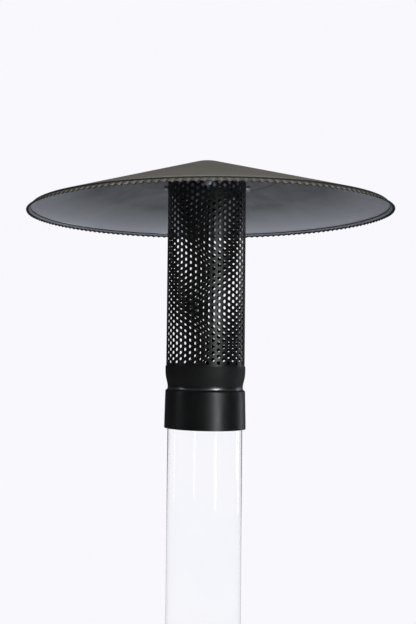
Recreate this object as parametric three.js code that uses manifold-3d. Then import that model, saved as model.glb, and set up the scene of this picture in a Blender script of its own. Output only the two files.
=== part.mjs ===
// A compact gas patio heater: a cylindrical housing with the gas cylinder and burner, a glass flame tube
// standing on it, and a perforated screen with a cone reflector on top of the tube.
// Millimetres, +Z up. The origin is on the floor under the middle of the base. The controls face -Y.
import * as THREE from 'three';
import { mergeVertices } from 'three/addons/utils/BufferGeometryUtils.js';
import Module from 'manifold-3d';

const wasm = await Module();
wasm.setup();

// ---------------------------------------------------------------- driving dimensions
const GAP = 0.3; // between pieces that touch
const SLIVER = 1; // how far a cutter passes a surface
const FINE = 32; // facets round the large turned pieces
const MEDIUM = 16;
const SMALL = 8;
const FRONT = -90; // bearing of the controls, in degrees

const FOOT = { radius: 12, height: 6, ring: 126, count: 4, bearing: 45, chamfer: 1 };
const BASE = { radius: 150, thickness: 8, bevel: 2.5, chamfer: 1 };
const HOUSING = { radius: 110, wall: 1.5, height: 328, flange: 14 };
const DOOR = { halfAngle: 52, low: 10, height: 208, gap: 1.2, flange: 8, wall: 1.5 };
const PARTITION = { height: 250, thickness: 1.2 };
const DECK = { thickness: 1.5, lip: 12, hole: 44, shoulder: 1.8 };
const SOCKET = {
  flange: 66, flangeThickness: 2.5, outer: 54.5, height: 27, screwRing: 60, screwHole: 2.2, round: 1.5,
};
const SOCKET_SCREW = { shank: 1.8, head: 3.6, headRim: 1.2, headTop: 2.4, headHeight: 2.3, segments: 12 };
const GLASS = { radius: 50, wall: 3, length: 360, clearance: 0.4, topGasket: 2.3 };
const COLLAR = { low: 660, height: 83, wall: 0.7 };
const RIM_HEIGHT = 947.8;
const CONE = {
  radius: 245, stepRadius: 238.3, stepTop: 7.3, stepDrop: 2.4, slope: 0.292, top: 74.5, sheet: 1.2, blunt: 16,
};
const PLATE = { radius: 95, thickness: 1.5, low: 993.6, hole: 3.4, spigotWall: 1.5, spigotDrop: 16 };
const SCREEN = { radius: 52.6, wall: 0.8, low: 732, high: 993.2 };
const SCREEN_BOLT = {
  bearing: 1.4, count: 4, height: 984, acrossFlats: 8, head: 5.2, shank: 2.4, length: 9,
};
const STUD = { radius: 3, below: 14, washer: 12, washerThickness: 2, gap: 0.6 };
const WING_NUT = { hub: 6, height: 8, span: 32, wing: 3, wingHeight: 9, wingDrop: 9 };

const CONTROL_HEIGHT = 291; // knob and igniter button centres above the floor
const PANEL = { width: 124, height: 58, corner: 10, face: 116, thickness: 3, wall: 4, back: 86, reach: 80 };
const KNOB = { x: -24, radius: 19, depth: 20, push: 3, standOff: 0.8, recess: 13, socket: 3.3, socketEnd: 6 };
const STEM = { radius: 2.6, bore: 3.1, boreDepth: 8, collarInner: 3, collarOuter: 5.6, collarWidth: 2.5 };
const IGNITER = { x: 31, radius: 8, body: 9.5, bezel: 12.5, back: 66, proud: 9, travel: 6 };
const HINGE = {
  axisRadius: 114, knuckle: 3.2, pin: 1.45, bore: 1.75, leaf: 1.2, width: 17, height: 36, play: 0.4, start: 2.7,
};
const HINGE_HEIGHTS = [48, 176];

const GAS_CYLINDER = { y: 24, radius: 49.5, height: 200, sheet: 1.2, neck: 12, neckWall: 3 };
const CRADLE = { wall: 1.5, height: 14, ledge: 12, clearance: 1, floor: 1.5 };

const BASE_LOW = FOOT.height + GAP;
const BASE_TOP = BASE_LOW + BASE.thickness;
const HOUSING_LOW = BASE_TOP + GAP;
const HOUSING_TOP = HOUSING_LOW + HOUSING.height;
const HOUSING_INNER = HOUSING.radius - HOUSING.wall;
const DECK_LOW = HOUSING_TOP + GAP;
const DECK_TOP = DECK_LOW + DECK.thickness;
const SOCKET_LOW = DECK_TOP + GAP;
const LOWER_GASKET = { thickness: 3, inner: 44.6 };
const GLASS_LOW = SOCKET_LOW + LOWER_GASKET.thickness + GAP;
const GLASS_TOP = GLASS_LOW + GLASS.length;
const DOOR_LOW = HOUSING_LOW + DOOR.low;
const DOOR_HIGH = DOOR_LOW + DOOR.height;

// ---------------------------------------------------------------- materials
const finish = (color, roughness, metalness, extra = {}) =>
  new THREE.MeshStandardMaterial({ color, roughness, metalness, ...extra });

const FINISHES = {
  blackPaint: () => finish(0x1b1b1c, 0.42, 0.3),
  screenPaint: () => finish(0x171614, 0.5, 0.5),
  bronzePaint: () => finish(0x6e6a5e, 0.45, 0.6),
  steel: () => finish(0x9a9a98, 0.35, 0.9),
  zinc: () => finish(0x8d9196, 0.4, 0.9),
  brass: () => finish(0xb08d45, 0.35, 0.9),
  copper: () => finish(0xa8623c, 0.35, 0.9),
  rubber: () => finish(0x161616, 0.9, 0),
  gasket: () => finish(0xd8d4c8, 0.95, 0),
  ceramic: () => finish(0xe8e4da, 0.4, 0),
  blackPlastic: () => finish(0x1c1c1d, 0.5, 0),
  glass: () => finish(0xf2f6f6, 0.05, 0, { transparent: true, opacity: 0.25 }),
  cylinderPaint: () => finish(0x5d6f55, 0.45, 0.2),
  redWire: () => finish(0x8c2b22, 0.6, 0),
};

const heater = new THREE.Group();

function addPart(name, geometry, finishName) {
  const mesh = new THREE.Mesh(geometry, FINISHES[finishName]());
  mesh.name = name;
  heater.add(mesh);
  return mesh;
}

// ---------------------------------------------------------------- shape helpers
const radians = THREE.MathUtils.degToRad;

function onBearing(radius, degrees, z = 0) {
  return new THREE.Vector3(radius * Math.cos(radians(degrees)), radius * Math.sin(radians(degrees)), z);
}

// A solid of revolution about Z. The profile is a closed outline of [radius, height] points.
function turned(profile, segments = FINE) {
  let twiceArea = 0;
  profile.forEach(([r, z], i) => {
    const [nextR, nextZ] = profile[(i + 1) % profile.length];
    twiceArea += r * nextZ - nextR * z;
  });
  const outline = (twiceArea > 0 ? profile : [...profile].reverse()).map(([r, z]) => new THREE.Vector2(r, z));
  const onAxis = outline.filter((p) => p.x === 0).length > 0;
  if (onAxis) {
    while (!(outline[0].x === 0 && outline[outline.length - 1].x === 0)) {
      outline.push(outline.shift());
    }
  } else {
    outline.push(outline[0].clone());
  }
  return new THREE.LatheGeometry(outline, segments).rotateX(Math.PI / 2);
}

const ring = (inner, outer, low, high, segments) =>
  turned([[inner, low], [outer, low], [outer, high], [inner, high]], segments);

const disc = (radius, low, high, segments) =>
  turned([[0, low], [radius, low], [radius, high], [0, high]], segments);

function block(width, depth, height, x, y, z) {
  return new THREE.BoxGeometry(width, depth, height).translate(x, y, z);
}

// Part of a ring, between two bearings.
function sector(inner, outer, low, high, from, to, segments = MEDIUM) {
  const shape = new THREE.Shape();
  shape.absarc(0, 0, outer, radians(from), radians(to), false);
  shape.absarc(0, 0, inner, radians(to), radians(from), true);
  shape.closePath();
  const options = { depth: high - low, bevelEnabled: false, curveSegments: Math.ceil(segments / 2) };
  return new THREE.ExtrudeGeometry(shape, options).translate(0, 0, low);
}

function roundedOutline(width, height, corner) {
  const shape = new THREE.Shape();
  const x = width / 2 - corner;
  const y = height / 2 - corner;
  shape.absarc(x, y, corner, 0, Math.PI / 2, false);
  shape.absarc(-x, y, corner, Math.PI / 2, Math.PI, false);
  shape.absarc(-x, -y, corner, Math.PI, 1.5 * Math.PI, false);
  shape.absarc(x, -y, corner, 1.5 * Math.PI, 2 * Math.PI, false);
  shape.closePath();
  return shape;
}

// A round rod or pipe along a smooth path.
function pipe(points, radius, steps, sides = 8) {
  const section = new THREE.Shape();
  section.absarc(0, 0, radius, 0, 2 * Math.PI, false);
  const path = new THREE.CatmullRomCurve3(points.map((p) => new THREE.Vector3(...p)), false, 'centripetal');
  return new THREE.ExtrudeGeometry(section, { steps, curveSegments: sides / 2, extrudePath: path });
}

// Turns a solid that was made about Z so that its +Z points towards -Y, at the given x and z.
const facingFront = (geometry, x, z) => geometry.rotateX(Math.PI / 2).translate(x, 0, z);

function toSolid(geometry) {
  const bare = geometry.clone();
  bare.deleteAttribute('normal');
  bare.deleteAttribute('uv');
  const merged = mergeVertices(bare, 1e-4);
  const corners = merged.index.array;
  const triangles = [];
  for (let i = 0; i < corners.length; i += 3) {
    const [a, b, c] = corners.slice(i, i + 3);
    if (a !== b && b !== c && c !== a) {
      triangles.push(a, b, c);
    }
  }
  return new wasm.Manifold(new wasm.Mesh({
    numProp: 3,
    vertProperties: new Float32Array(merged.attributes.position.array),
    triVerts: new Uint32Array(triangles),
  }));
}

function toGeometry(solid) {
  const mesh = solid.getMesh();
  const geometry = new THREE.BufferGeometry();
  geometry.setAttribute('position', new THREE.BufferAttribute(mesh.vertProperties, 3));
  geometry.setIndex(new THREE.BufferAttribute(mesh.triVerts, 1));
  geometry.computeVertexNormals();
  return geometry;
}

// Joins the first list of geometries, then cuts away the second.
function built(joined, cut = []) {
  let solid = toSolid(joined[0]);
  joined.slice(1).forEach((geometry) => {
    solid = solid.add(toSolid(geometry));
  });
  cut.forEach((geometry) => {
    solid = solid.subtract(toSolid(geometry));
  });
  return toGeometry(solid);
}

const bearings = (count, start) => Array.from({ length: count }, (_, i) => start + (i * 360) / count);

// ---------------------------------------------------------------- base, feet and housing
function addBase() {
  const { radius, bevel } = BASE;
  addPart('base_plate', turned([
    [0, BASE_LOW],
    [radius - BASE.chamfer, BASE_LOW],
    [radius, BASE_LOW + BASE.chamfer],
    [radius, BASE_TOP - bevel],
    [radius - 0.3 * bevel, BASE_TOP - 0.3 * bevel],
    [radius - bevel, BASE_TOP],
    [0, BASE_TOP],
  ]), 'blackPaint');
  bearings(FOOT.count, FOOT.bearing).forEach((bearing, i) => {
    const foot = turned([
      [0, 0],
      [FOOT.radius - FOOT.chamfer, 0],
      [FOOT.radius, FOOT.chamfer],
      [FOOT.radius, FOOT.height],
      [0, FOOT.height],
    ], SMALL);
    const place = onBearing(FOOT.ring, bearing);
    addPart(`foot_${i + 1}`, foot.translate(place.x, place.y, 0), 'rubber');
  });
}

const SLOT = { width: 5, height: 24, reach: 12 };
const LOW_VENTS = { bearings: [60, 72, 84, 96, 108, 120], above: 32 };
const HIGH_VENTS = { bearings: [30, 45, 60, 75, 90, 105, 120, 135, 150], below: 34 };
const SHELL_HOLES = { stem: 9, igniter: 10.5, from: 90, to: 125 };

function slotCutters(degreesList, z) {
  return degreesList.map((degrees) => {
    const cutter = block(SLOT.reach, SLOT.width, SLOT.height, HOUSING.radius, 0, z);
    return cutter.rotateZ(radians(degrees));
  });
}

function addHousing() {
  const shell = turned([
    [HOUSING.radius - HOUSING.flange, HOUSING_LOW],
    [HOUSING.radius, HOUSING_LOW],
    [HOUSING.radius, HOUSING_TOP],
    [HOUSING_INNER, HOUSING_TOP],
    [HOUSING_INNER, HOUSING_LOW + HOUSING.wall],
    [HOUSING.radius - HOUSING.flange, HOUSING_LOW + HOUSING.wall],
  ]);
  const opening = sector(
    HOUSING_INNER - SLIVER, HOUSING.radius + SLIVER, DOOR_LOW, DOOR_HIGH,
    FRONT - DOOR.halfAngle, FRONT + DOOR.halfAngle,
  );
  const lowVents = slotCutters(LOW_VENTS.bearings, HOUSING_LOW + LOW_VENTS.above);
  const highVents = slotCutters(HIGH_VENTS.bearings, HOUSING_TOP - HIGH_VENTS.below);
  const { from, to } = SHELL_HOLES;
  const controlHoles = [
    facingFront(disc(SHELL_HOLES.stem, from, to, SMALL), KNOB.x, CONTROL_HEIGHT),
    facingFront(disc(SHELL_HOLES.igniter, from, to, SMALL), IGNITER.x, CONTROL_HEIGHT),
  ];
  addPart('housing_shell', built([shell], [opening, ...lowVents, ...highVents, ...controlHoles]), 'blackPaint');

  const partitionTop = PARTITION.height + PARTITION.thickness;
  const supplyHole = disc(SUPPLY_HOLE.radius, PARTITION.height - SLIVER, partitionTop + SLIVER, SMALL);
  addPart('partition_plate', built(
    [disc(HOUSING_INNER - GAP, PARTITION.height, partitionTop)],
    [supplyHole.translate(SUPPLY_HOLE.x, SUPPLY_HOLE.y, 0)],
  ), 'zinc');
}

function addDeck() {
  const outer = HOUSING.radius + GAP + DECK.thickness;
  const round = DECK.shoulder;
  addPart('deck', turned([
    [DECK.hole, DECK_LOW],
    [HOUSING.radius + GAP, DECK_LOW],
    [HOUSING.radius + GAP, DECK_LOW - DECK.lip],
    [outer, DECK_LOW - DECK.lip],
    [outer, DECK_TOP - round],
    [outer - round / 3, DECK_TOP - round / 3],
    [outer - round, DECK_TOP],
    [DECK.hole, DECK_TOP],
  ]), 'blackPaint');
}

// ---------------------------------------------------------------- gas cylinder, regulator and pipes
const REGULATOR = { low: 221, radius: 24, height: 22, outlet: 5, outletReach: 32, outletRise: 11 };
const SUPPLY_HOLE = { x: 34, y: -30, radius: 8 };
const VALVE = { width: 30, depth: 40, height: 30, face: 100, magnet: 8, magnetLength: 20, inlet: 24 };
const MAGNET_Y = -VALVE.face + 26;
const INJECTOR = { low: 281, height: 13, radius: 5.5, bore: 1.2, skirtLow: 4.5, skirtHigh: 7.5 };

function addGasSupply() {
  const low = BASE_TOP + GAP;
  const { y, radius, height, sheet, neck } = GAS_CYLINDER;
  const cradleOuter = radius + CRADLE.clearance + CRADLE.wall;
  const cradle = built([
    ring(radius + CRADLE.clearance, cradleOuter, low, low + CRADLE.height, MEDIUM),
    ring(radius - CRADLE.ledge, cradleOuter, low, low + CRADLE.floor, MEDIUM),
  ]);
  addPart('cylinder_cradle', cradle.translate(0, y, 0), 'zinc');

  const foot = low + CRADLE.floor + GAP;
  const top = foot + height;
  const dish = { radius: radius - 12, rise: 3 };
  const footRing = { inner: radius - 9, outer: radius - 6, round: 7 };
  const shoulder = { start: top - 34, bend: [radius - 7, top - 20], end: [radius - 22, top - 10] };
  const bore = neck - GAS_CYLINDER.neckWall;
  const profile = [
    [0, foot + dish.rise], [dish.radius, foot + dish.rise], [footRing.inner, foot], [footRing.outer, foot],
    [radius, foot + footRing.round], [radius, shoulder.start], shoulder.bend,
    shoulder.end, [neck, top - 8], [neck, top],
    [bore, top], [bore, top - 9], [shoulder.end[0], shoulder.end[1] - sheet],
    [shoulder.bend[0] - sheet, shoulder.bend[1] - sheet], [radius - sheet, shoulder.start - sheet],
    [radius - sheet, foot + footRing.round + 1], [footRing.outer, foot + dish.rise + sheet],
    [0, foot + dish.rise + sheet],
  ];
  addPart('gas_cylinder', turned(profile, MEDIUM).translate(0, y, 0), 'cylinderPaint');

  const { low: bodyLow, outletReach, outletRise } = REGULATOR;
  const plug = disc(bore - GAP, top - 7, bodyLow + 2, SMALL);
  const skirt = ring(neck + GAP, neck + 3, top - 6, bodyLow + 2, MEDIUM);
  const body = disc(REGULATOR.radius, bodyLow, bodyLow + REGULATOR.height, MEDIUM);
  const outlet = disc(REGULATOR.outlet, 0, outletReach, SMALL);
  outlet.rotateX(Math.PI / 2).translate(0, 0, bodyLow + outletRise);
  addPart('regulator', built([body, plug, skirt, outlet]).translate(0, y, 0), 'zinc');
}

const SUPPLY_PIPE = { radius: 3, steps: 24 };
const FEED_PIPE = { radius: 2.5, steps: 18 };

function addPipes() {
  const outletEnd = GAS_CYLINDER.y - REGULATOR.outletReach - GAP;
  const outletZ = REGULATOR.low + REGULATOR.outletRise;
  const valveBottom = CONTROL_HEIGHT - VALVE.height / 2;
  const inletY = -VALVE.face + VALVE.inlet;
  const overPartition = PARTITION.height + 14;
  addPart('supply_pipe', pipe([
    [0, outletEnd, outletZ],
    [0, outletEnd - 8, outletZ],
    [14, outletEnd - 18, outletZ],
    [SUPPLY_HOLE.x - 4, SUPPLY_HOLE.y, outletZ + 6],
    [SUPPLY_HOLE.x, SUPPLY_HOLE.y, PARTITION.height - 4],
    [SUPPLY_HOLE.x, SUPPLY_HOLE.y, PARTITION.height + 9],
    [SUPPLY_HOLE.x - 14, SUPPLY_HOLE.y - 22, overPartition],
    [KNOB.x + 14, inletY, overPartition],
    [KNOB.x, inletY, valveBottom - 6],
    [KNOB.x, inletY, valveBottom - GAP],
  ], SUPPLY_PIPE.radius, SUPPLY_PIPE.steps), 'copper');
  const valveBack = -VALVE.face + VALVE.depth;
  const outletHeight = CONTROL_HEIGHT - 4;
  const bendHeight = INJECTOR.low - 14;
  addPart('feed_pipe', pipe([
    [KNOB.x, valveBack + GAP, outletHeight],
    [KNOB.x, valveBack + 12, outletHeight],
    [KNOB.x + 6, valveBack + 26, outletHeight - 10],
    [-8, -16, bendHeight],
    [0, -5, bendHeight],
    [0, 0, INJECTOR.low - 7],
    [0, 0, INJECTOR.low - GAP],
  ], FEED_PIPE.radius, FEED_PIPE.steps), 'copper');
}

// ---------------------------------------------------------------- controls
const KNOB_BACK = PANEL.face + KNOB.push + KNOB.standOff;
const KNOB_FRONT = KNOB_BACK + KNOB.depth;

function addControlPanel() {
  const { width, height, corner, face, thickness, wall, back, reach } = PANEL;
  const x = (KNOB.x + IGNITER.x) / 2;
  const plate = new THREE.ExtrudeGeometry(roundedOutline(width, height, corner), {
    depth: face - back, bevelEnabled: false, curveSegments: 2,
  });
  const housingSpace = disc(HOUSING.radius + GAP, CONTROL_HEIGHT - height, CONTROL_HEIGHT + height);
  const cavityDepth = face - thickness - reach;
  const cavity = block(
    width - 2 * wall, cavityDepth, height - 2 * wall, x, -(reach + cavityDepth / 2), CONTROL_HEIGHT,
  );
  const stemHole = disc(STEM.radius + 3.9, reach, face + SLIVER, SMALL);
  const igniterHole = disc(IGNITER.radius + 2, reach, face + SLIVER, MEDIUM);
  addPart('control_panel', built([plate.rotateX(Math.PI / 2).translate(x, -back, CONTROL_HEIGHT)], [
    housingSpace,
    cavity,
    facingFront(stemHole, KNOB.x, CONTROL_HEIGHT),
    facingFront(igniterHole, IGNITER.x, CONTROL_HEIGHT),
  ]), 'blackPaint');
}

// The knob stands off the panel by its push travel and a little more.
function addKnob() {
  const { radius, recess } = KNOB;
  const socketEnd = KNOB_FRONT - KNOB.socketEnd;
  const shape = turned([
    [0, KNOB_BACK + 3], [recess, KNOB_BACK + 3], [recess, KNOB_BACK], [radius, KNOB_BACK],
    [radius, KNOB_BACK + 4], [radius - 3, KNOB_BACK + 6],
    [radius - 4, KNOB_FRONT - 1.5], [radius - 5.5, KNOB_FRONT], [0, KNOB_FRONT],
  ], MEDIUM);
  const grip = { width: 16, cut: 12, length: 28, depth: 14 };
  const gripCuts = [-1, 1].map((side) =>
    block(grip.cut, grip.length, grip.depth, (side * (grip.width + grip.cut)) / 2, 0, KNOB_FRONT - 1));
  const stemSocket = disc(KNOB.socket, KNOB_BACK - SLIVER, socketEnd, SMALL);
  const knob = built([shape], [...gripCuts, stemSocket]);
  addPart('knob', facingFront(knob, KNOB.x, CONTROL_HEIGHT), 'blackPlastic');

  const stem = disc(STEM.radius, VALVE.face - SLIVER, socketEnd - GAP, SMALL);
  addPart('valve_stem', facingFront(stem, KNOB.x, CONTROL_HEIGHT), 'steel');
  const collarLow = VALVE.face + KNOB.push + 1;
  const collar = ring(STEM.collarInner, STEM.collarOuter, collarLow, collarLow + STEM.collarWidth, SMALL);
  addPart('stem_collar', facingFront(collar, KNOB.x, CONTROL_HEIGHT), 'brass');
}

function addValve() {
  const { width, depth, height, face, magnet, magnetLength } = VALVE;
  const magnetUnit = disc(magnet, 0, magnetLength, SMALL).rotateY(Math.PI / 2);
  const stemBore = disc(STEM.bore, face - STEM.boreDepth, face + SLIVER, SMALL);
  addPart('gas_valve', built([
    block(width, depth, height, KNOB.x, -face + depth / 2, CONTROL_HEIGHT),
    magnetUnit.translate(KNOB.x - width / 2 - magnetLength, MAGNET_Y, CONTROL_HEIGHT),
  ], [facingFront(stemBore, KNOB.x, CONTROL_HEIGHT)]), 'brass');

  // A shelf over the valve, with a tab down behind the valve and one behind the igniter.
  const shelf = { width: 96, depth: 34, sheet: 1.5, x: 2 };
  const tabWidth = 18;
  const shelfLow = CONTROL_HEIGHT + height / 2 + GAP;
  const tabOffset = GAP + shelf.sheet / 2;
  addPart('valve_bracket', built([
    block(shelf.width, shelf.depth, shelf.sheet, shelf.x, -face + VALVE.inlet, shelfLow + shelf.sheet / 2),
    block(tabWidth, shelf.sheet, 14, KNOB.x, -face + depth + tabOffset, shelfLow - 6),
    block(tabWidth, shelf.sheet, 10, IGNITER.x, -IGNITER.back + tabOffset, shelfLow - 4),
  ]), 'zinc');
}

function addIgniter() {
  const { radius, body, bezel, back, proud, travel } = IGNITER;
  const { face } = PANEL;
  const facets = 24;
  const rounding = 1.5;
  const button = turned([
    [0, face - travel], [radius, face - travel], [radius, face + proud - rounding],
    [radius - rounding, face + proud], [0, face + proud],
  ], facets);
  addPart('igniter_button', facingFront(button, IGNITER.x, CONTROL_HEIGHT), 'blackPlastic');
  const bodyFront = 101;
  const igniterBody = built([
    disc(body, back, bodyFront, facets),
    ring(radius + GAP, body, bodyFront - 1, face + 1.5, facets),
    ring(body - 0.5, bezel, face + GAP, face + 1.8, facets),
  ]);
  addPart('igniter_body', facingFront(igniterBody, IGNITER.x, CONTROL_HEIGHT), 'blackPlastic');
}

// ---------------------------------------------------------------- burner
const BURNER = {
  bowlLow: 326, bowlHigh: 356, bowlRadius: 33, sheet: 1.2, throat: 11, ports: 8, portRing: 25, portRadius: 2.4,
};
const STRAP = { z: 320, width: 18, sheet: 1.5, collar: 19, rise: 3 };
const PROBE = { x: 38.4, radius: 2.5, hole: 2.8, below: 12, facets: 12 };
const LEAD = { steps: 14, sides: 6, ignition: 1.2, thermocouple: 1 };

function addBurner() {
  const { bowlLow, bowlHigh, bowlRadius, sheet, throat } = BURNER;
  const bore = throat - sheet;
  const { low, height, radius } = INJECTOR;
  addPart('injector', built([
    disc(radius, low, low + height, 12),
    disc(bore - GAP, low + INJECTOR.skirtLow, low + INJECTOR.skirtHigh, 24),
  ], [disc(INJECTOR.bore, low - SLIVER, low + height + SLIVER, SMALL)]), 'brass');

  const tubeLow = low + 4;
  const airPort = { width: 8, height: 9, above: 15 };
  addPart('mixing_tube', built(
    [ring(bore, throat, tubeLow, bowlLow - GAP, 24)],
    [0, 90].map((degrees) =>
      block(4 * throat, airPort.width, airPort.height, 0, 0, tubeLow + airPort.above)
        .rotateZ(radians(degrees))),
  ), 'steel');

  addPart('burner_bowl', turned([
    [bore, bowlLow], [throat + 4, bowlLow], [bowlRadius, bowlLow + 14],
    [bowlRadius, bowlHigh], [bowlRadius - sheet, bowlHigh], [bowlRadius - sheet, bowlLow + 15],
    [throat + 3.5, bowlLow + sheet], [bore, bowlLow + sheet],
  ], MEDIUM), 'steel');
  const ports = bearings(BURNER.ports, 0).map((bearing) => {
    const place = onBearing(BURNER.portRing, bearing);
    return disc(BURNER.portRadius, bowlHigh - 12, bowlHigh, 6).translate(place.x, place.y, 0);
  });
  const plateTop = bowlHigh - 4;
  addPart('burner_plate', built([
    disc(bowlRadius - sheet - GAP, plateTop - 1, plateTop, MEDIUM),
  ], ports), 'steel');

  // A cross strap under the deck carries the bowl, the electrode and the thermocouple.
  const strapBottom = STRAP.z - STRAP.sheet / 2;
  const drill = (holeRadius, x, segments) =>
    disc(holeRadius, strapBottom - SLIVER, STRAP.z + STRAP.rise + SLIVER, segments).translate(x, 0, 0);
  addPart('burner_bracket', built([
    block(2 * HOUSING_INNER - 4, STRAP.width, STRAP.sheet, 0, 0, STRAP.z),
    ring(throat + GAP, STRAP.collar, strapBottom, STRAP.z + STRAP.rise, 24),
  ], [
    drill(throat + GAP, 0, 24),
    drill(PROBE.hole, PROBE.x, SMALL),
    drill(PROBE.hole, -PROBE.x, SMALL),
  ]), 'zinc');
}

function addProbesAndLeads() {
  const { x, radius, facets } = PROBE;
  const probeLow = STRAP.z - PROBE.below;
  const rod = 0.9;
  const tip = 1.6;
  const up = STRAP.z;
  addPart('electrode', turned([
    [0, probeLow], [radius, probeLow], [radius, up + 26], [rod, up + 28], [rod, up + 44], [0, up + 44],
  ], facets).translate(x, 0, 0), 'ceramic');
  addPart('thermocouple', turned([
    [0, probeLow], [radius, probeLow], [radius, up + 24], [tip, up + 27], [tip, up + 40], [0, up + 41],
  ], facets).translate(-x, 0, 0), 'steel');

  const igniterEnd = CONTROL_HEIGHT - 3;
  addPart('ignition_lead', pipe([
    [x, 0, probeLow - GAP],
    [x, 0, probeLow - 8],
    [x + 2, -22, probeLow - 18],
    [IGNITER.x + 2, -48, igniterEnd],
    [IGNITER.x, -IGNITER.back + 8, igniterEnd],
    [IGNITER.x, -IGNITER.back + GAP, igniterEnd],
  ], LEAD.ignition, LEAD.steps, LEAD.sides), 'redWire');
  const magnetEnd = KNOB.x - VALVE.width / 2 - VALVE.magnetLength;
  addPart('thermocouple_lead', pipe([
    [-x, 0, probeLow - GAP],
    [-x, 0, probeLow - 8],
    [-x - 16, -22, probeLow - 14],
    [magnetEnd - 16, -50, CONTROL_HEIGHT + 2],
    [magnetEnd - 10, MAGNET_Y + 2, CONTROL_HEIGHT],
    [magnetEnd - GAP, MAGNET_Y, CONTROL_HEIGHT],
  ], LEAD.thermocouple, LEAD.steps, LEAD.sides), 'copper');
}

// ---------------------------------------------------------------- tip-over switch
const TILT = {
  x: -72, y: 10, pivot: 32, span: 22, sheet: 1.5, pin: 1.1, bore: 1.25, facets: 12, eye: 3.4, rod: 1.3,
  bob: 6.5, bobHalf: 5, arm: 19, above: 5,
};

function addTiltSwitch() {
  const { x, y, sheet, bob, bobHalf, arm, facets } = TILT;
  const low = BASE_TOP + GAP;
  const pivotZ = low + TILT.pivot;
  const half = TILT.span / 2;
  const upright = TILT.pivot + TILT.above;
  const uprights = [-1, 1].map((side) => block(sheet, 14, upright, x + side * half, y, low + upright / 2));
  const across = (radius, reach) => disc(radius, -reach, reach, facets).rotateY(Math.PI / 2);
  addPart('tilt_frame', built(
    [block(TILT.span + sheet, 26, sheet, x, y, low + sheet / 2), ...uprights],
    [across(TILT.bore, half + 3).translate(x, y, pivotZ)],
  ), 'zinc');
  addPart('tilt_pin', across(TILT.pin, half + 2).translate(x, y, pivotZ), 'steel');

  const chamfer = 2;
  const weight = turned([
    [0, -arm - bobHalf], [bob - chamfer, -arm - bobHalf], [bob, -arm - bobHalf + chamfer],
    [bob, -arm + bobHalf - chamfer], [bob - chamfer, -arm + bobHalf], [0, -arm + bobHalf],
  ], SMALL);
  const eye = disc(TILT.eye, -3, 3, SMALL).rotateY(Math.PI / 2);
  addPart('tilt_pendulum', built(
    [eye, disc(TILT.rod, -arm, -TILT.eye + 0.8, SMALL), weight],
    [across(TILT.bore, half)],
  ).translate(x, y, pivotZ), 'brass');
}

// ---------------------------------------------------------------- door
const HINGE_BEARING = FRONT - DOOR.halfAngle;
const DEGREES_PER_MM = 180 / (Math.PI * (HOUSING.radius + HINGE.leaf));
const PULL = {
  bearing: FRONT + DOOR.halfAngle - 12, height: 132, length: 18, foot: 6, neck: 4, head: 9, bore: 2.3,
};
const PULL_SCREW = { head: 3.8, shank: 2, hole: 2.4, from: 104.6, segments: 12 };
const CATCH = { height: 26, depth: 11, span: 7 };

const outwards = (geometry, bearing, z) =>
  geometry.rotateY(Math.PI / 2).rotateZ(radians(bearing)).translate(0, 0, z);

function addDoor() {
  const clearance = DOOR.gap * DEGREES_PER_MM;
  const from = FRONT - DOOR.halfAngle + clearance;
  const to = FRONT + DOOR.halfAngle - clearance;
  const low = DOOR_LOW + DOOR.gap;
  const high = DOOR_HIGH - DOOR.gap;
  const flangeInner = HOUSING_INNER - DOOR.flange;
  const edge = DOOR.wall * DEGREES_PER_MM;
  const overlap = 0.4;
  const skin = sector(HOUSING_INNER, HOUSING.radius, low, high, from, to);
  const flanges = [
    sector(flangeInner, HOUSING_INNER + overlap, low, low + DOOR.wall, from, to),
    sector(flangeInner, HOUSING_INNER + overlap, high - DOOR.wall, high, from, to),
    sector(flangeInner, HOUSING_INNER + overlap, low, high, from, from + edge, 2),
    sector(flangeInner, HOUSING_INNER + overlap, low, high, to - edge, to, 2),
  ];
  const screwHole = outwards(disc(PULL_SCREW.hole, 100, 120, SMALL), PULL.bearing, PULL.height);
  addPart('door_panel', built([skin, ...flanges], [screwHole]), 'blackPaint');

  const seat = HOUSING.radius + GAP;
  const { foot, neck, head, length } = PULL;
  const pull = built([turned([
    [0, seat], [foot, seat], [neck, seat + 3], [neck, seat + length - 8],
    [head, seat + length - 5], [head, seat + length - 2],
    [head - 2, seat + length], [0, seat + length],
  ], 24)], [disc(PULL.bore, seat - SLIVER, seat + 11, SMALL)]);
  addPart('door_pull', outwards(pull, PULL.bearing, PULL.height), 'steel');

  const { from: screwFrom, shank } = PULL_SCREW;
  const seatInside = screwFrom + 3.3;
  const screw = turned([
    [0, screwFrom], [PULL_SCREW.head - 1.2, screwFrom], [PULL_SCREW.head, screwFrom + 1.2],
    [PULL_SCREW.head, seatInside], [shank, seatInside], [shank, seat + 10], [0, seat + 10],
  ], PULL_SCREW.segments);
  addPart('door_pull_screw', outwards(screw, PULL.bearing, PULL.height), 'zinc');

  const catchFrom = FRONT + DOOR.halfAngle - 0.2;
  addPart('magnet_catch', sector(
    HOUSING_INNER - 1 - CATCH.depth, HOUSING_INNER - 1, PULL.height - CATCH.height / 2,
    PULL.height + CATCH.height / 2, catchFrom, catchFrom + CATCH.span, 3,
  ), 'blackPlastic');
}

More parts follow.
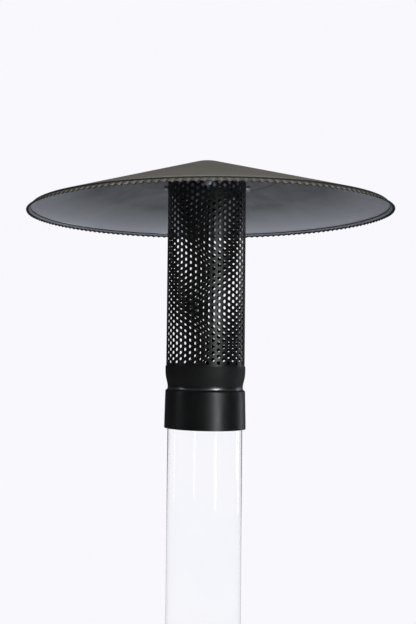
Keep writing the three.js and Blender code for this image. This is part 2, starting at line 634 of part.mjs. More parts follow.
// One hinge: the housing leaf has the outer knuckles and the door leaf the middle one, on a headed pin.
function addHinge(label, low) {
  const inner = HOUSING.radius + GAP;
  const outer = inner + HINGE.leaf;
  const near = HINGE.start * DEGREES_PER_MM;
  const far = HINGE.width * DEGREES_PER_MM;
  const third = HINGE.height / 3;
  const { play } = HINGE;
  const axis = onBearing(HINGE.axisRadius, HINGE_BEARING);
  const knuckle = (z0, z1) => disc(HINGE.knuckle, z0, z1, SMALL).translate(axis.x, axis.y, 0);
  const bore = disc(HINGE.bore, low - 5, low + HINGE.height + 5, 12).translate(axis.x, axis.y, 0);
  const leafFor = (side, spans) => {
    const span = (a, b) => (side > 0
      ? [HINGE_BEARING + a, HINGE_BEARING + b]
      : [HINGE_BEARING - b, HINGE_BEARING - a]);
    const plate = sector(inner, outer, low, low + HINGE.height, ...span(near, far), 4);
    const webs = spans.map(([z0, z1]) =>
      sector(inner, outer + 0.6, z0, z1, ...span(-0.4, near + 0.4), 2));
    return built([plate, ...webs, ...spans.map(([z0, z1]) => knuckle(z0, z1))], [bore]);
  };
  addPart(`hinge_${label}_housing_leaf`, leafFor(-1, [
    [low, low + third - play],
    [low + 2 * third + play, low + HINGE.height],
  ]), 'blackPaint');
  addPart(`hinge_${label}_door_leaf`, leafFor(1, [[low + third, low + 2 * third]]), 'blackPaint');
  const headLow = low + HINGE.height + GAP;
  const headTop = headLow + 1.2;
  const headRadius = HINGE.knuckle - 0.4;
  const pin = turned([
    [0, low - 1], [HINGE.pin, low - 1], [HINGE.pin, headLow],
    [headRadius, headLow], [headRadius, headTop], [0, headTop],
  ], 12);
  addPart(`hinge_${label}_pin`, pin.translate(axis.x, axis.y, 0), 'steel');
}

// ---------------------------------------------------------------- glass tube and its seats
function addGlass() {
  const { radius, wall, clearance } = GLASS;
  const { flange, flangeThickness, outer, round } = SOCKET;
  const top = SOCKET_LOW + SOCKET.height;
  const flangeTop = SOCKET_LOW + flangeThickness;
  const socket = turned([
    [radius + clearance, SOCKET_LOW],
    [flange, SOCKET_LOW],
    [flange, flangeTop - 1],
    [flange - 1, flangeTop],
    [outer + round, flangeTop],
    [outer, flangeTop + round],
    [outer, top - round],
    [outer - round, top],
    [radius + clearance, top],
  ]);
  const places = bearings(3, FRONT).map((bearing) => onBearing(SOCKET.screwRing, bearing));
  const screwHoles = places.map((place) =>
    disc(SOCKET.screwHole, SOCKET_LOW - SLIVER, SOCKET_LOW + 5, 12).translate(place.x, place.y, 0));
  addPart('glass_socket', built([socket], screwHoles), 'blackPaint');

  const { shank, head, headRim, headTop, headHeight, segments } = SOCKET_SCREW;
  const headLow = flangeTop + GAP;
  places.forEach((place, i) => {
    const screw = turned([
      [0, SOCKET_LOW + 0.2], [shank, SOCKET_LOW + 0.2], [shank, headLow], [head, headLow],
      [head, headLow + headRim], [headTop, headLow + headHeight], [0, headLow + headHeight],
    ], segments);
    addPart(`socket_screw_${i + 1}`, screw.translate(place.x, place.y, 0), 'zinc');
  });

  const topGasketLow = GLASS_TOP + GAP;
  addPart('lower_gasket', ring(LOWER_GASKET.inner, radius - GAP, SOCKET_LOW, GLASS_LOW - GAP), 'gasket');
  addPart('glass_tube', ring(radius - wall, radius, GLASS_LOW, GLASS_TOP), 'glass');
  addPart('upper_gasket', ring(
    radius - wall, radius + 2, topGasketLow, topGasketLow + GLASS.topGasket,
  ), 'gasket');
}

// ---------------------------------------------------------------- collar, screen and reflector
function addCollarAndScreen() {
  // [outer radius, height above the collar's lower edge]: a slight flare, the groove, then a straight band.
  const outline = [
    [54.5, 0], [53.3, 50], [50.4, 54.5], [50.8, 58], [52.3, 65], [53.3, 71], [53.6, COLLAR.height],
  ];
  const outside = outline.map(([r, z]) => [r, COLLAR.low + z]);
  const inside = outline.map(([r, z]) => [r - COLLAR.wall, COLLAR.low + z]).reverse();
  addPart('collar', turned([...outside, ...inside]), 'blackPaint');

  const screen = ring(SCREEN.radius - SCREEN.wall, SCREEN.radius, SCREEN.low, SCREEN.high);
  const boltBearings = bearings(SCREEN_BOLT.count, SCREEN_BOLT.bearing);
  const boltHoles = () => boltBearings.map((bearing) =>
    outwards(disc(SCREEN_BOLT.shank + GAP, 40, 60, SMALL), bearing, SCREEN_BOLT.height));
  addPart('screen', built([screen], boltHoles()), 'screenPaint');

  const spigotOuter = SCREEN.radius - SCREEN.wall - GAP;
  const spigotInner = spigotOuter - PLATE.spigotWall;
  const spigotLow = PLATE.low - PLATE.spigotDrop;
  const plate = turned([
    [PLATE.hole, PLATE.low], [spigotInner, PLATE.low], [spigotInner, spigotLow],
    [spigotOuter, spigotLow], [spigotOuter, PLATE.low], [PLATE.radius, PLATE.low],
    [PLATE.radius, PLATE.low + PLATE.thickness], [PLATE.hole, PLATE.low + PLATE.thickness],
  ]);
  addPart('mounting_plate', built([plate], boltHoles()), 'bronzePaint');

  boltBearings.forEach((bearing, i) => {
    const headFrom = SCREEN.radius + GAP;
    const head = disc(SCREEN_BOLT.acrossFlats / Math.sqrt(3), headFrom, headFrom + SCREEN_BOLT.head, 6);
    const shank = disc(SCREEN_BOLT.shank, headFrom - SCREEN_BOLT.length, headFrom + 0.5, SMALL);
    addPart(`screen_bolt_${i + 1}`, outwards(built([head, shank]), bearing, SCREEN_BOLT.height), 'zinc');
  });
}

function addReflector() {
  const { radius, stepRadius, stepTop, stepDrop, slope, top, sheet, blunt } = CONE;
  const shoulder = stepTop + (stepRadius - blunt) * slope;
  const upper = [
    [0, top], [0.55 * blunt, top - 0.25 * (top - shoulder)], [blunt, shoulder], [stepRadius, stepTop],
    [stepRadius + 0.4, stepTop - stepDrop], [radius, sheet],
  ];
  const lower = [
    [radius - 0.3, 0], [stepRadius - 0.6, stepTop - stepDrop - sheet], [stepRadius - 1, stepTop - sheet],
    [blunt, shoulder - sheet], [0, top - sheet],
  ];
  const lift = ([r, z]) => [r, RIM_HEIGHT + z];
  addPart('reflector', turned([...upper, ...lower].map(lift)), 'bronzePaint');

  const washerTop = RIM_HEIGHT + shoulder - sheet - STUD.gap;
  const washerLow = washerTop - STUD.washerThickness;
  const studLow = PLATE.low - STUD.below;
  addPart('reflector_stud', turned([
    [0, studLow], [STUD.radius, studLow], [STUD.radius, washerLow],
    [STUD.washer, washerLow], [STUD.washer, washerTop], [0, washerTop],
  ], SMALL), 'zinc');
  const nutTop = PLATE.low - GAP;
  const { hub, height, span, wing, wingHeight, wingDrop } = WING_NUT;
  addPart('wing_nut', built([
    disc(hub, nutTop - height, nutTop, SMALL),
    block(span, wing, wingHeight, 0, 0, nutTop - wingDrop),
  ], [disc(STUD.radius + GAP, nutTop - height - wingDrop, nutTop + SLIVER, SMALL)]), 'zinc');
}

addBase();
addHousing();
addDeck();
addGasSupply();
addPipes();
addControlPanel();
addKnob();
addValve();
addIgniter();
addBurner();
addProbesAndLeads();
addTiltSwitch();
addDoor();
HINGE_HEIGHTS.forEach((low, i) => addHinge(['lower', 'upper'][i], low));
addGlass();
addCollarAndScreen();
addReflector();

export default heater;
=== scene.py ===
"""An outdoor gas heater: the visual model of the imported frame.

Drawn in millimetres, +Z up, controls facing -Y. Bearings are in degrees from +X, anticlockwise from above.
"""

import math

import bpy
from mathutils import Matrix, Vector


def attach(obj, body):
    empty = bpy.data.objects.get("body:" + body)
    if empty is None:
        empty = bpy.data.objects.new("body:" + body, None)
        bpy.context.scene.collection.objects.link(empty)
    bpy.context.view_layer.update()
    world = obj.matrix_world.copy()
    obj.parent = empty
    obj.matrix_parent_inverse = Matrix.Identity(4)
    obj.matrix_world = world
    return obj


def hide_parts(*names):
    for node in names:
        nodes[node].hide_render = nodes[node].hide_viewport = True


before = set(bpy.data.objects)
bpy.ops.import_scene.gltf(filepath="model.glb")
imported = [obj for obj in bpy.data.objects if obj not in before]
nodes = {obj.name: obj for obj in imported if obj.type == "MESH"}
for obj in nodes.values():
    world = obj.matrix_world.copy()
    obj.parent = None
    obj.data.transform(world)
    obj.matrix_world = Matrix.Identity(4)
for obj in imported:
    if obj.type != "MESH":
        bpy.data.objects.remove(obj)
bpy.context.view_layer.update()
scene = bpy.context.scene
MM = 0.001
TAU = 2 * math.pi


# ---------------------------------------------------------------- camera
def add_camera():
    data = bpy.data.cameras.new("camera")
    data.sensor_width = 36
    data.lens = 52.33
    data.shift_x = 0.157
    data.clip_start = 0.05
    data.clip_end = 100
    camera = bpy.data.objects.new("camera", data)
    scene.collection.objects.link(camera)
    yaw, pitch, roll = (math.radians(a) for a in (-6.03, 2.59, 0.82))
    ahead = Vector((math.sin(yaw) * math.cos(pitch), math.cos(yaw) * math.cos(pitch), math.sin(pitch)))
    right = ahead.cross(Vector((0, 0, 1))).normalized()
    up = right.cross(ahead)
    tilted_right = right * math.cos(roll) + up * math.sin(roll)
    tilted_up = up * math.cos(roll) - right * math.sin(roll)
    turn = Matrix((tilted_right, tilted_up, -ahead)).transposed().to_4x4()
    camera.matrix_world = Matrix.Translation((0, -1.233, 0.7588)) @ turn
    scene.camera = camera


add_camera()


# ---------------------------------------------------------------- shape helpers, in millimetres
def rounded(points, steps=4):
    """A closed outline whose points may carry a third number, the radius their corner is rounded to."""
    out = []
    for i, point in enumerate(points):
        if len(point) == 2:
            out.append(point)
            continue
        corner = Vector(point[:2])
        back = Vector(points[i - 1][:2]) - corner
        on = Vector(points[(i + 1) % len(points)][:2]) - corner
        half = max(back.angle(on) / 2, 0.01)
        reach = min(point[2] / math.tan(half), 0.49 * back.length, 0.49 * on.length)
        a, b = corner + back.normalized() * reach, corner + on.normalized() * reach
        for k in range(steps + 1):
            t = k / steps
            p = a * (1 - t) ** 2 + corner * 2 * t * (1 - t) + b * t * t
            out.append((p.x, p.y))
    return out


def signed_area(outline):
    return sum(a[0] * b[1] - b[0] * a[1] for a, b in zip(outline, outline[1:] + outline[:1])) / 2


def turned(profile, segments=96, warp=None):
    """A closed outline of (radius, height) points turned about Z. warp moves a point by its angle."""
    profile = list(profile)
    if signed_area(profile) < 0:
        profile.reverse()
    verts, faces, rings = [], [], []
    for r, z in profile:
        if r < 1e-6:
            rings.append([len(verts)])
            verts.append((0, 0, z))
            continue
        rings.append(range(len(verts), len(verts) + segments))
        for j in range(segments):
            a = TAU * j / segments
            rr, zz = warp(r, z, a) if warp else (r, z)
            verts.append((rr * math.cos(a), rr * math.sin(a), zz))
    for low, high in zip(rings, rings[1:] + rings[:1]):
        for j in range(segments):
            k = (j + 1) % segments
            if len(low) > 1 and len(high) > 1:
                faces.append((low[j], low[k], high[k], high[j]))
            elif len(high) > 1:
                faces.append((low[0], high[k], high[j]))
            elif len(low) > 1:
                faces.append((low[j], low[k], high[0]))
    return verts, faces


def swept(profile, start, stop, segments):
    """A closed outline of (radius, height) points turned from one bearing to another, with flat ends."""
    profile = list(profile)
    if signed_area(profile) < 0:
        profile.reverse()
    n = len(profile)
    verts, faces = [], []
    for j in range(segments + 1):
        a = math.radians(start + (stop - start) * j / segments)
        verts += [(r * math.cos(a), r * math.sin(a), z) for r, z in profile]
    for j in range(segments):
        for i in range(n):
            k = (i + 1) % n
            faces.append((j * n + i, (j + 1) * n + i, (j + 1) * n + k, j * n + k))
    faces.append(tuple(range(n)))
    faces.append(tuple(segments * n + i for i in reversed(range(n))))
    return verts, faces


def section(inner, outer, low, high, corner=0, steps=3):
    """A rectangular section between two radii and two heights. corner is the radius of its corners."""
    points = [(inner, low), (outer, low), (outer, high), (inner, high)]
    return rounded([(*point, corner) for point in points], steps) if corner else points


def rod(radius, low, high, corner, steps=2, bore=0):
    """The section of a rod or sleeve whose outer edges are rounded."""
    return rounded([(bore, low), (radius, low, corner), (radius, high, corner), (bore, high)], steps)


def around(radius, bearing):
    a = math.radians(bearing)
    return radius * math.cos(a), radius * math.sin(a)


def prism(outline, low, high):
    outline = list(outline)
    if signed_area(outline) < 0:
        outline.reverse()
    n = len(outline)
    verts = [(x, y, z) for z in (low, high) for x, y in outline]
    faces = [(i, (i + 1) % n, n + (i + 1) % n, n + i) for i in range(n)]
    faces += [tuple(reversed(range(n))), tuple(range(n, 2 * n))]
    return verts, faces


def rectangle(width, height, corner, steps=5):
    x, y = width / 2, height / 2
    return rounded([(x, y, corner), (-x, y, corner), (-x, -y, corner), (x, -y, corner)], steps)


def block(width, depth, height, x, y, z):
    return moved(prism(rectangle(width, depth, 0.01, 1), -height / 2, height / 2), x, y, z)


def merged(*shapes):
    verts, faces = [], []
    for more_verts, more_faces in shapes:
        base = len(verts)
        verts += more_verts
        faces += [tuple(base + i for i in face) for face in more_faces]
    return verts, faces


def mapped(shape, change):
    return [change(*v) for v in shape[0]], shape[1]


def moved(shape, x=0, y=0, z=0):
    return mapped(shape, lambda a, b, c: (a + x, b + y, c + z))


def spun(shape, degrees):
    c, s = math.cos(math.radians(degrees)), math.sin(math.radians(degrees))
    return mapped(shape, lambda x, y, z: (x * c - y * s, x * s + y * c, z))


def facing_front(shape, x, z):
    """Turns a shape made about Z so that its +Z points towards -Y, at the given x and z."""
    return mapped(shape, lambda a, b, c: (a + x, -c, b + z))


def outwards(shape, bearing, z=0):
    """Turns a shape made about Z so that its +Z points outwards on a bearing."""
    return moved(spun(mapped(shape, lambda a, b, c: (c, b, -a)), bearing), z=z)


def smooth_path(points, steps):
    """Points along a centripetal Catmull-Rom curve."""
    p = [Vector(q) for q in points]
    p = [2 * p[0] - p[1], *p, 2 * p[-1] - p[-2]]
    out = []
    for i in range(1, len(p) - 2):
        quad = p[i - 1:i + 3]
        t = [0.0]
        for a, b in zip(quad, quad[1:]):
            t.append(t[-1] + (b - a).length ** 0.5)

        def between(first, second, start, stop):
            return first * ((stop - s) / (stop - start)) + second * ((s - start) / (stop - start))

        for k in range(steps + (i == len(p) - 3)):
            s = t[1] + (t[2] - t[1]) * k / steps
            level = [between(quad[j], quad[j + 1], t[j], t[j + 1]) for j in range(3)]
            level = [between(level[j], level[j + 1], t[j], t[j + 2]) for j in range(2)]
            out.append(between(*level, t[1], t[2]))
    return out


def tube(points, radius, steps=8, sides=16):
    """A round rod along a smooth path, with flat ends."""
    path = smooth_path(points, steps)
    verts, faces = [], []
    side = None
    for i, p in enumerate(path):
        along = (path[min(i + 1, len(path) - 1)] - path[max(i - 1, 0)]).normalized()
        if side is None:
            side = along.orthogonal().normalized()
        side = (side - along * side.dot(along)).normalized()
        up = along.cross(side)
        for j in range(sides):
            a = TAU * j / sides
            verts.append(tuple(p + (side * math.cos(a) + up * math.sin(a)) * radius))
    for i in range(len(path) - 1):
        for j in range(sides):
            k = (j + 1) % sides
            faces.append((i * sides + j, i * sides + k, (i + 1) * sides + k, (i + 1) * sides + j))
    faces.append(tuple(reversed(range(sides))))
    faces.append(tuple((len(path) - 1) * sides + j for j in range(sides)))
    return verts, faces


def hexagon(flats, low, high, bore=0.0):
    """A hexagonal head or nut about Z, with its corners chamfered at the outer end."""
    apothem, side = flats / 2, math.pi / 3
    flat = apothem * 0.94  # the chamfer starts here

    def warp(r, z, a):
        if r <= flat:
            return r, z
        reach = apothem / math.cos((a + side / 2) % side - side / 2)
        return reach, z - (reach - flat) * 0.55 if z > low + 1e-6 else z

    outline = [(bore, low), (apothem, low), (apothem, high), (flat, high), (bore, high)]
    return turned(outline, 48, warp)


def mesh_object(name, shape):
    mesh = bpy.data.meshes.new(name)
    mesh.from_pydata([Vector(v) * MM for v in shape[0]], [], shape[1])
    mesh.update()
    obj = bpy.data.objects.new(name, mesh)
    scene.collection.objects.link(obj)
    return obj


def add(name, shape, finish, body, stands_for=None, sharp=32, bevel=None, cut=None,
        more_finishes=()):
    """Makes one piece: its mesh, material and body, and the CAD node it stands for."""
    obj = mesh_object(name, shape)
    for each in (finish, *more_finishes):
        obj.data.materials.append(each.material)
    if cut:
        carve(obj, cut)
    obj.data.shade_smooth()
    obj.data.set_sharp_from_angle(angle=math.radians(sharp))
    if bevel:
        soften(obj, bevel)
    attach(obj, body)
    if stands_for:
        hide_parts(stands_for)
    return obj


def carve(obj, shape):
    """Cuts one shape away from a piece for good."""
    cutter = mesh_object("cutter", shape)
    modifier = obj.modifiers.new("cut", "BOOLEAN")
    modifier.operation = "DIFFERENCE"
    modifier.solver = "EXACT"
    modifier.object = cutter
    graph = bpy.context.evaluated_depsgraph_get()
    done = bpy.data.meshes.new_from_object(obj.evaluated_get(graph))
    obj.modifiers.clear()
    name = obj.data.name
    obj.data.name = "uncut"
    obj.data = done
    done.name = name
    bpy.data.objects.remove(cutter)


def soften(obj, width):
    """Rounds the sharp edges of a piece or a CAD node by width, in millimetres."""
    modifier = obj.modifiers.new("edges", "BEVEL")
    modifier.width = width * MM
    modifier.segments = 2
    modifier.limit_method = "ANGLE"
    modifier.angle_limit = math.radians(40)
    modifier.harden_normals = False


# ---------------------------------------------------------------- materials
def linear(red, green, blue):
    """A colour given as 0 to 255 in sRGB."""
    parts = (red / 255, green / 255, blue / 255)
    return (*(c / 12.92 if c < 0.04 else ((c + 0.055) / 1.055) ** 2.4 for c in parts), 1)


class Finish:
    """A node-based material with its textures in object space, where 1 is a metre."""

    def __init__(self, name, slot, **values):
        self.material = bpy.data.materials.new(name)
        self.slot = slot
        self.material.use_nodes = True
        self.tree = self.material.node_tree
        self.shader = self.tree.nodes["Principled BSDF"]
        self.place = self.node("ShaderNodeTexCoord").outputs["Object"]
        for key, value in values.items():
            self.shader.inputs[key.replace("_", " ")].default_value = value

    def node(self, kind, **settings):
        made = self.tree.nodes.new(kind)
        for key, value in settings.items():
            setattr(made, key, value)
        return made

    def link(self, source, target):
        self.tree.links.new(source, target)

    def stretched(self, x, y, z):
        mapping = self.node("ShaderNodeMapping")
        mapping.inputs["Scale"].default_value = (x, y, z)
        self.link(self.place, mapping.inputs["Vector"])
        return mapping.outputs["Vector"]

    def noise(self, scale, detail=4.0, roughness=0.55, where=None, distortion=0.0):
        made = self.node("ShaderNodeTexNoise")
        made.inputs["Scale"].default_value = scale
        made.inputs["Detail"].default_value = detail
        made.inputs["Roughness"].default_value = roughness
        made.inputs["Distortion"].default_value = distortion
        self.link(where or self.place, made.inputs["Vector"])
        return made.outputs["Fac"]

    def cell_shades(self, scale):
        """A random grey for each of many small cells."""
        cells = self.node("ShaderNodeTexVoronoi")
        cells.inputs["Scale"].default_value = scale
        self.link(self.place, cells.inputs["Vector"])
        grey = self.node("ShaderNodeRGBToBW")
        self.link(cells.outputs["Color"], grey.inputs[0])
        return grey.outputs[0]

    def remap(self, value, low, high, start=0.35, end=0.65):
        made = self.node("ShaderNodeMapRange")
        for key, number in (("From Min", start), ("From Max", end), ("To Min", low), ("To Max", high)):
            made.inputs[key].default_value = number
        self.link(value, made.inputs["Value"])
        return made.outputs["Result"]

    def mix(self, factor, first, second):
        made = self.node("ShaderNodeMix", data_type="RGBA")
        self.link(factor, made.inputs[0])
        for socket, colour in ((made.inputs[6], first), (made.inputs[7], second)):
            if isinstance(colour, tuple):
                socket.default_value = colour
            else:
                self.link(colour, socket)
        return made.outputs[2]

    def combined(self, operation, first, second):
        made = self.node("ShaderNodeMath", operation=operation)
        self.link(first, made.inputs[0])
        self.link(second, made.inputs[1])
        return made.outputs[0]

    def vector(self, operation, first, second=None):
        """A vector node. The second input may be a socket or fixed numbers."""
        made = self.node("ShaderNodeVectorMath", operation=operation)
        self.link(first, made.inputs[0])
        if isinstance(second, tuple):
            made.inputs[1].default_value = second
        elif second:
            self.link(second, made.inputs[1])
        return made

    def colour(self, value):
        self.link(value, self.shader.inputs["Base Color"])
        return self

    def roughness(self, value):
        self.link(value, self.shader.inputs["Roughness"])
        return self

    def bump(self, height, strength, distance):
        """Raises the surface by height times distance, in millimetres."""
        made = self.node("ShaderNodeBump")
        made.inputs["Strength"].default_value = strength
        made.inputs["Distance"].default_value = distance * MM
        self.link(height, made.inputs["Height"])
        before = self.shader.inputs["Normal"]
        if before.is_linked:
            self.link(before.links[0].from_socket, made.inputs["Normal"])
        self.link(made.outputs["Normal"], before)
        return self


def painted(name, slot, dark, light, gloss, grain=900, grain_height=0.03, **values):
    """Sprayed or powder-coated paint: faint mottling, uneven gloss and a fine orange peel."""
    f = Finish(name, slot, **values)
    cloudy = f.remap(f.noise(9, 5), 0, 1, 0.32, 0.68)
    f.colour(f.mix(cloudy, linear(*dark), linear(*light)))
    f.roughness(f.remap(f.noise(26, 6, 0.65), gloss - 0.07, gloss + 0.09, 0.3, 0.7))
    f.bump(f.noise(grain, 2), 0.35, grain_height)
    return f


def bare_metal(name, slot, dark, light, gloss, streak=(1, 1, 14), **values):
    """Bare or plated metal with drawn streaks and slightly stained patches."""
    f = Finish(name, slot, Metallic=1.0, **values)
    streaks = f.noise(260, 3, 0.6, f.stretched(*streak))
    stains = f.remap(f.noise(38, 6, 0.6), 0, 1, 0.35, 0.7)
    f.colour(f.mix(stains, linear(*light), linear(*dark)))
    f.roughness(f.remap(streaks, gloss - 0.08, gloss + 0.12, 0.3, 0.7))
    f.bump(streaks, 0.2, 0.02)
    return f


black_paint = painted("black_enamel", "black_paint", (4, 4, 5), (8, 8, 9), 0.37, Specular_IOR_Level=0.42)
band_paint = painted(
    "black_enamel_band", "black_paint", (7, 7, 7), (11, 11, 11), 0.6, 700, 0.05, Specular_IOR_Level=0.32)
# A pale metallic band in the collar's groove: a painted glint for the thin highlight the groove catches.
groove_painted_glint = painted(
    "black_enamel_painted_glint", "black_paint", (96, 99, 101), (122, 125, 127), 0.3, 900, 0.03, Metallic=1.0)
housing_paint = painted("black_powder_coat", "black_paint", (25, 25, 27), (34, 34, 36), 0.5, 620, 0.08)
screen_paint = painted(
    "heat_proof_paint", "screen_paint", (31, 31, 31), (48, 47, 47), 0.38, 1100, 0.03, Metallic=0.75)
cylinder_paint = painted(
    "green_cylinder_paint", "cylinder_paint", (72, 88, 66), (84, 101, 76), 0.42, 500, 0.06)
black_plastic = painted("moulded_plastic", "black_plastic", (24, 24, 25), (31, 31, 32), 0.55, 1700, 0.05)
wire_cover = painted("wire_sleeve", "wire", (120, 32, 26), (146, 44, 34), 0.55, 800, 0.03)
steel = bare_metal("drawn_steel", "steel", (128, 128, 126), (176, 176, 174), 0.34)
brass = bare_metal("machined_brass", "brass", (138, 106, 52), (190, 154, 86), 0.3)
copper = bare_metal("bent_copper", "copper", (118, 62, 40), (186, 112, 78), 0.32, (1, 1, 1))


def zinc_finish():
    f = Finish("zinc_plate", "zinc", Metallic=1.0)
    shade = f.cell_shades(170)
    f.colour(f.mix(f.remap(shade, 0, 1, 0.1, 0.9), linear(132, 137, 142), linear(170, 174, 178)))
    f.roughness(f.remap(shade, 0.3, 0.46, 0.1, 0.9))
    return f.bump(f.noise(500, 3), 0.2, 0.02)


def rubber_finish():
    f = Finish("moulded_rubber", "rubber")
    f.colour(f.mix(f.noise(60, 6), linear(20, 20, 20), linear(38, 37, 36)))
    f.roughness(f.remap(f.noise(300, 3), 0.78, 0.95))
    return f.bump(f.noise(1300, 2), 0.5, 0.06)


def gasket_finish():
    f = Finish("woven_fibre", "gasket", Roughness=0.95)
    fibres = f.noise(900, 5, 0.7, f.stretched(1, 1, 0.25))
    f.colour(f.mix(fibres, linear(176, 170, 156), linear(226, 221, 208)))
    return f.bump(fibres, 0.8, 0.3)


def ceramic_finish():
    f = Finish("glazed_ceramic", "ceramic", Coat_Weight=0.5, Coat_Roughness=0.12)
    f.colour(f.mix(f.noise(120, 5), linear(216, 211, 198), linear(240, 237, 228)))
    f.roughness(f.remap(f.noise(200, 3), 0.3, 0.45))
    return f.bump(f.noise(400, 3), 0.15, 0.03)


def print_finish():
    f = Finish("white_print", "black_paint")
    f.colour(f.mix(f.noise(700, 4), linear(196, 196, 194), linear(226, 226, 224)))
    f.roughness(f.remap(f.noise(300, 3), 0.5, 0.7))
    return f


def glass_finish():
    f = Finish("clear_glass", "glass", Transmission_Weight=1.0, IOR=1.2, Roughness=0.0)
    f.colour(f.mix(f.remap(f.noise(7, 4), 0, 1, 0.4, 0.75), linear(255, 255, 255), linear(251, 253, 253)))
    f.roughness(f.remap(f.noise(30, 6, 0.6), 0.0, 0.03, 0.5, 0.8))
    return f.bump(f.noise(11, 1), 0.08, 0.5)


def reflector_finish(name, dark, light, rim, gloss, metallic):
    """Sprayed metal with cloudy patches and faint spun streaks, paler towards the rim as painted light."""
    f = Finish(name, "bronze_paint", Metallic=metallic)
    flat = f.vector("MULTIPLY", f.place, (1, 1, 0)).outputs[0]
    far_out = f.vector("SCALE", f.vector("NORMALIZE", flat).outputs[0])
    far_out.inputs["Scale"].default_value = 2.0
    streaks = f.noise(6, 5, 0.6, f.vector("ADD", far_out.outputs[0], f.place).outputs[0])
    patches = f.remap(f.noise(17, 7, 0.62, None, 0.6), 0, 1, 0.36, 0.66)
    tone = f.mix(patches, linear(*dark), linear(*light))
    radius = f.vector("LENGTH", flat).outputs["Value"]
    tone = f.mix(f.remap(radius, 0, 1, 0.15, 0.245), tone, linear(*rim))
    f.colour(f.mix(f.remap(streaks, 0, 0.08, 0.4, 0.7), tone, linear(*rim)))
    f.roughness(f.remap(streaks, gloss - 0.01, gloss + 0.02, 0.3, 0.7))
    return f.bump(f.noise(1200, 2), 0.25, 0.02)


zinc = zinc_finish()
rubber = rubber_finish()
gasket = gasket_finish()
ceramic = ceramic_finish()
white_print = print_finish()
glass = glass_finish()
reflector_top = reflector_finish(
    "bronze_paint_outer", (118, 115, 106), (130, 126, 116), (130, 127, 117), 0.42, 0.55)
# The underside's rim tone is far paler: painted light towards the rim, with the centre under the cone darker as
# painted shade.
reflector_under = reflector_finish(
    "bronze_paint_inner", (120, 122, 127), (144, 147, 152), (226, 230, 238), 0.38, 0.7)
rim_paint = painted(
    "bronze_paint_rim", "bronze_paint", (70, 67, 60), (96, 92, 84), 0.4, 700, 0.05, Metallic=0.5)
# The flange's underside in a paler paint: painted light, like the underside's pale rim.
rim_under = painted(
    "bronze_paint_rim_inner", "bronze_paint", (150, 153, 158), (176, 180, 187), 0.4, 700, 0.05, Metallic=0.5)
# Darker paint on the underside of the step's fold: painted shade, the step's dark line seen from below.
fold_shade_paint = painted("bronze_paint_fold_shade", "bronze_paint", (48, 48, 50), (62, 62, 65), 0.6, 700, 0.05)
# Near-black paint in the crease of the step between cone and flange: painted shade.
crease_shade_paint = painted("bronze_paint_crease_shade", "bronze_paint", (14, 13, 12), (22, 21, 19), 0.7, 700, 0.05)


# ---------------------------------------------------------------- reflector and head
RIM = 947.8
PLATE_LOW = 993.6
CONE_RADIUS = 245
STEP_RADIUS, STEP_TOP = 238.3, 7.3
FLANGE_RADIUS = STEP_RADIUS + 0.7
CONE_SLOPE = 0.292
BLUNT = 16  # radius of the blunt apex
FLUTES = 172
TOP, UNDER, RIM_BAND, CREASE_SHADE, RIM_BELOW, FOLD_SHADE = range(6)  # the cone's materials, in order

SCREEN_RADIUS, SCREEN_WALL, SCREEN_LOW, SCREEN_TOP = 52.6, 0.8, 732, 993.2
COLUMN_WIDTH = 8.0  # degrees between two columns of holes
HOLE_PITCH, HOLE_RADIUS, HOLE_SIDES = 8.45, 2.55, 12
BOLT_TURN = 1.4  # bearing of the first screen bolt


def cone_outline():
    """The section of the cone: blunt apex, slope, step and flange, then the underside back to the axis."""
    step_drop, apex, sheet = 2.4, 74.5, 1.0
    apex_steps, slope_steps, flange_steps = 6, 10, 6
    fall = apex - STEP_TOP - (STEP_RADIUS - BLUNT) * CONE_SLOPE
    top = [(0.0, apex)]
    for k in range(1, apex_steps + 1):
        t = k / apex_steps
        top.append((BLUNT * t, apex - fall * (0.55 * t ** 2 + 0.45 * t ** 1.3)))
    for k in range(1, slope_steps + 1):
        r = BLUNT + (STEP_RADIUS - 0.8 - BLUNT) * k / slope_steps
        top.append((r, STEP_TOP + (STEP_RADIUS - r) * CONE_SLOPE))
    step_low, flange_low = STEP_TOP - step_drop, sheet + 0.25
    top += [(STEP_RADIUS - 0.2, STEP_TOP - 0.25), (STEP_RADIUS + 0.15, STEP_TOP - 1.0)]
    top += [(STEP_RADIUS + 0.3, step_low + 0.3), (FLANGE_RADIUS, step_low)]
    for k in range(1, flange_steps + 1):
        t = k / flange_steps
        r = FLANGE_RADIUS + (CONE_RADIUS - 0.25 - FLANGE_RADIUS) * t
        top.append((r, step_low + (flange_low - step_low) * t))
    under = [(max(r - 0.28, 0.0), z - sheet) for r, z in reversed(top)]
    return [(r, RIM + z) for r, z in [*top, (CONE_RADIUS, flange_low - 0.4), *under]]


def flute(r, z, a):
    """Presses the flutes into the flange, deeper towards its edge."""
    full, inwards, upwards = CONE_RADIUS - 2, 0.7, 0.72
    grip = max(0.0, min(1.0, (r - FLANGE_RADIUS) / (full - FLANGE_RADIUS)))
    wave = math.sin(FLUTES * a)
    sharper = wave + 0.22 * math.sin(2 * FLUTES * a + 1.2)
    return r - grip * inwards * (1 - wave) / 2, z + grip * upwards * (sharper - 0.2)


def cone_material(radius, below):
    """Which of the cone's materials a face has. The crease and fold paints are painted shade."""
    # The underside's outer edge, its teeth, takes the same near-black paint as the crease.
    if below and radius > CONE_RADIUS - 3.6:
        return CREASE_SHADE
    if radius < STEP_RADIUS - 0.3:
        return UNDER if below else TOP
    if below:
        return FOLD_SHADE if radius < STEP_RADIUS + 0.3 else RIM_BELOW
    return CREASE_SHADE if radius < STEP_RADIUS + 0.75 else RIM_BAND


def add_reflector():
    finishes = (reflector_under, rim_paint, crease_shade_paint, rim_under, fold_shade_paint)
    shape = turned(cone_outline(), FLUTES * 8, flute)
    obj = add("cone_reflector", shape, reflector_top, "frame", "reflector", sharp=50, more_finishes=finishes)
    for polygon in obj.data.polygons:
        radius = math.hypot(polygon.center.x, polygon.center.y) / MM
        polygon.material_index = cone_material(radius, polygon.normal.z < -0.1)


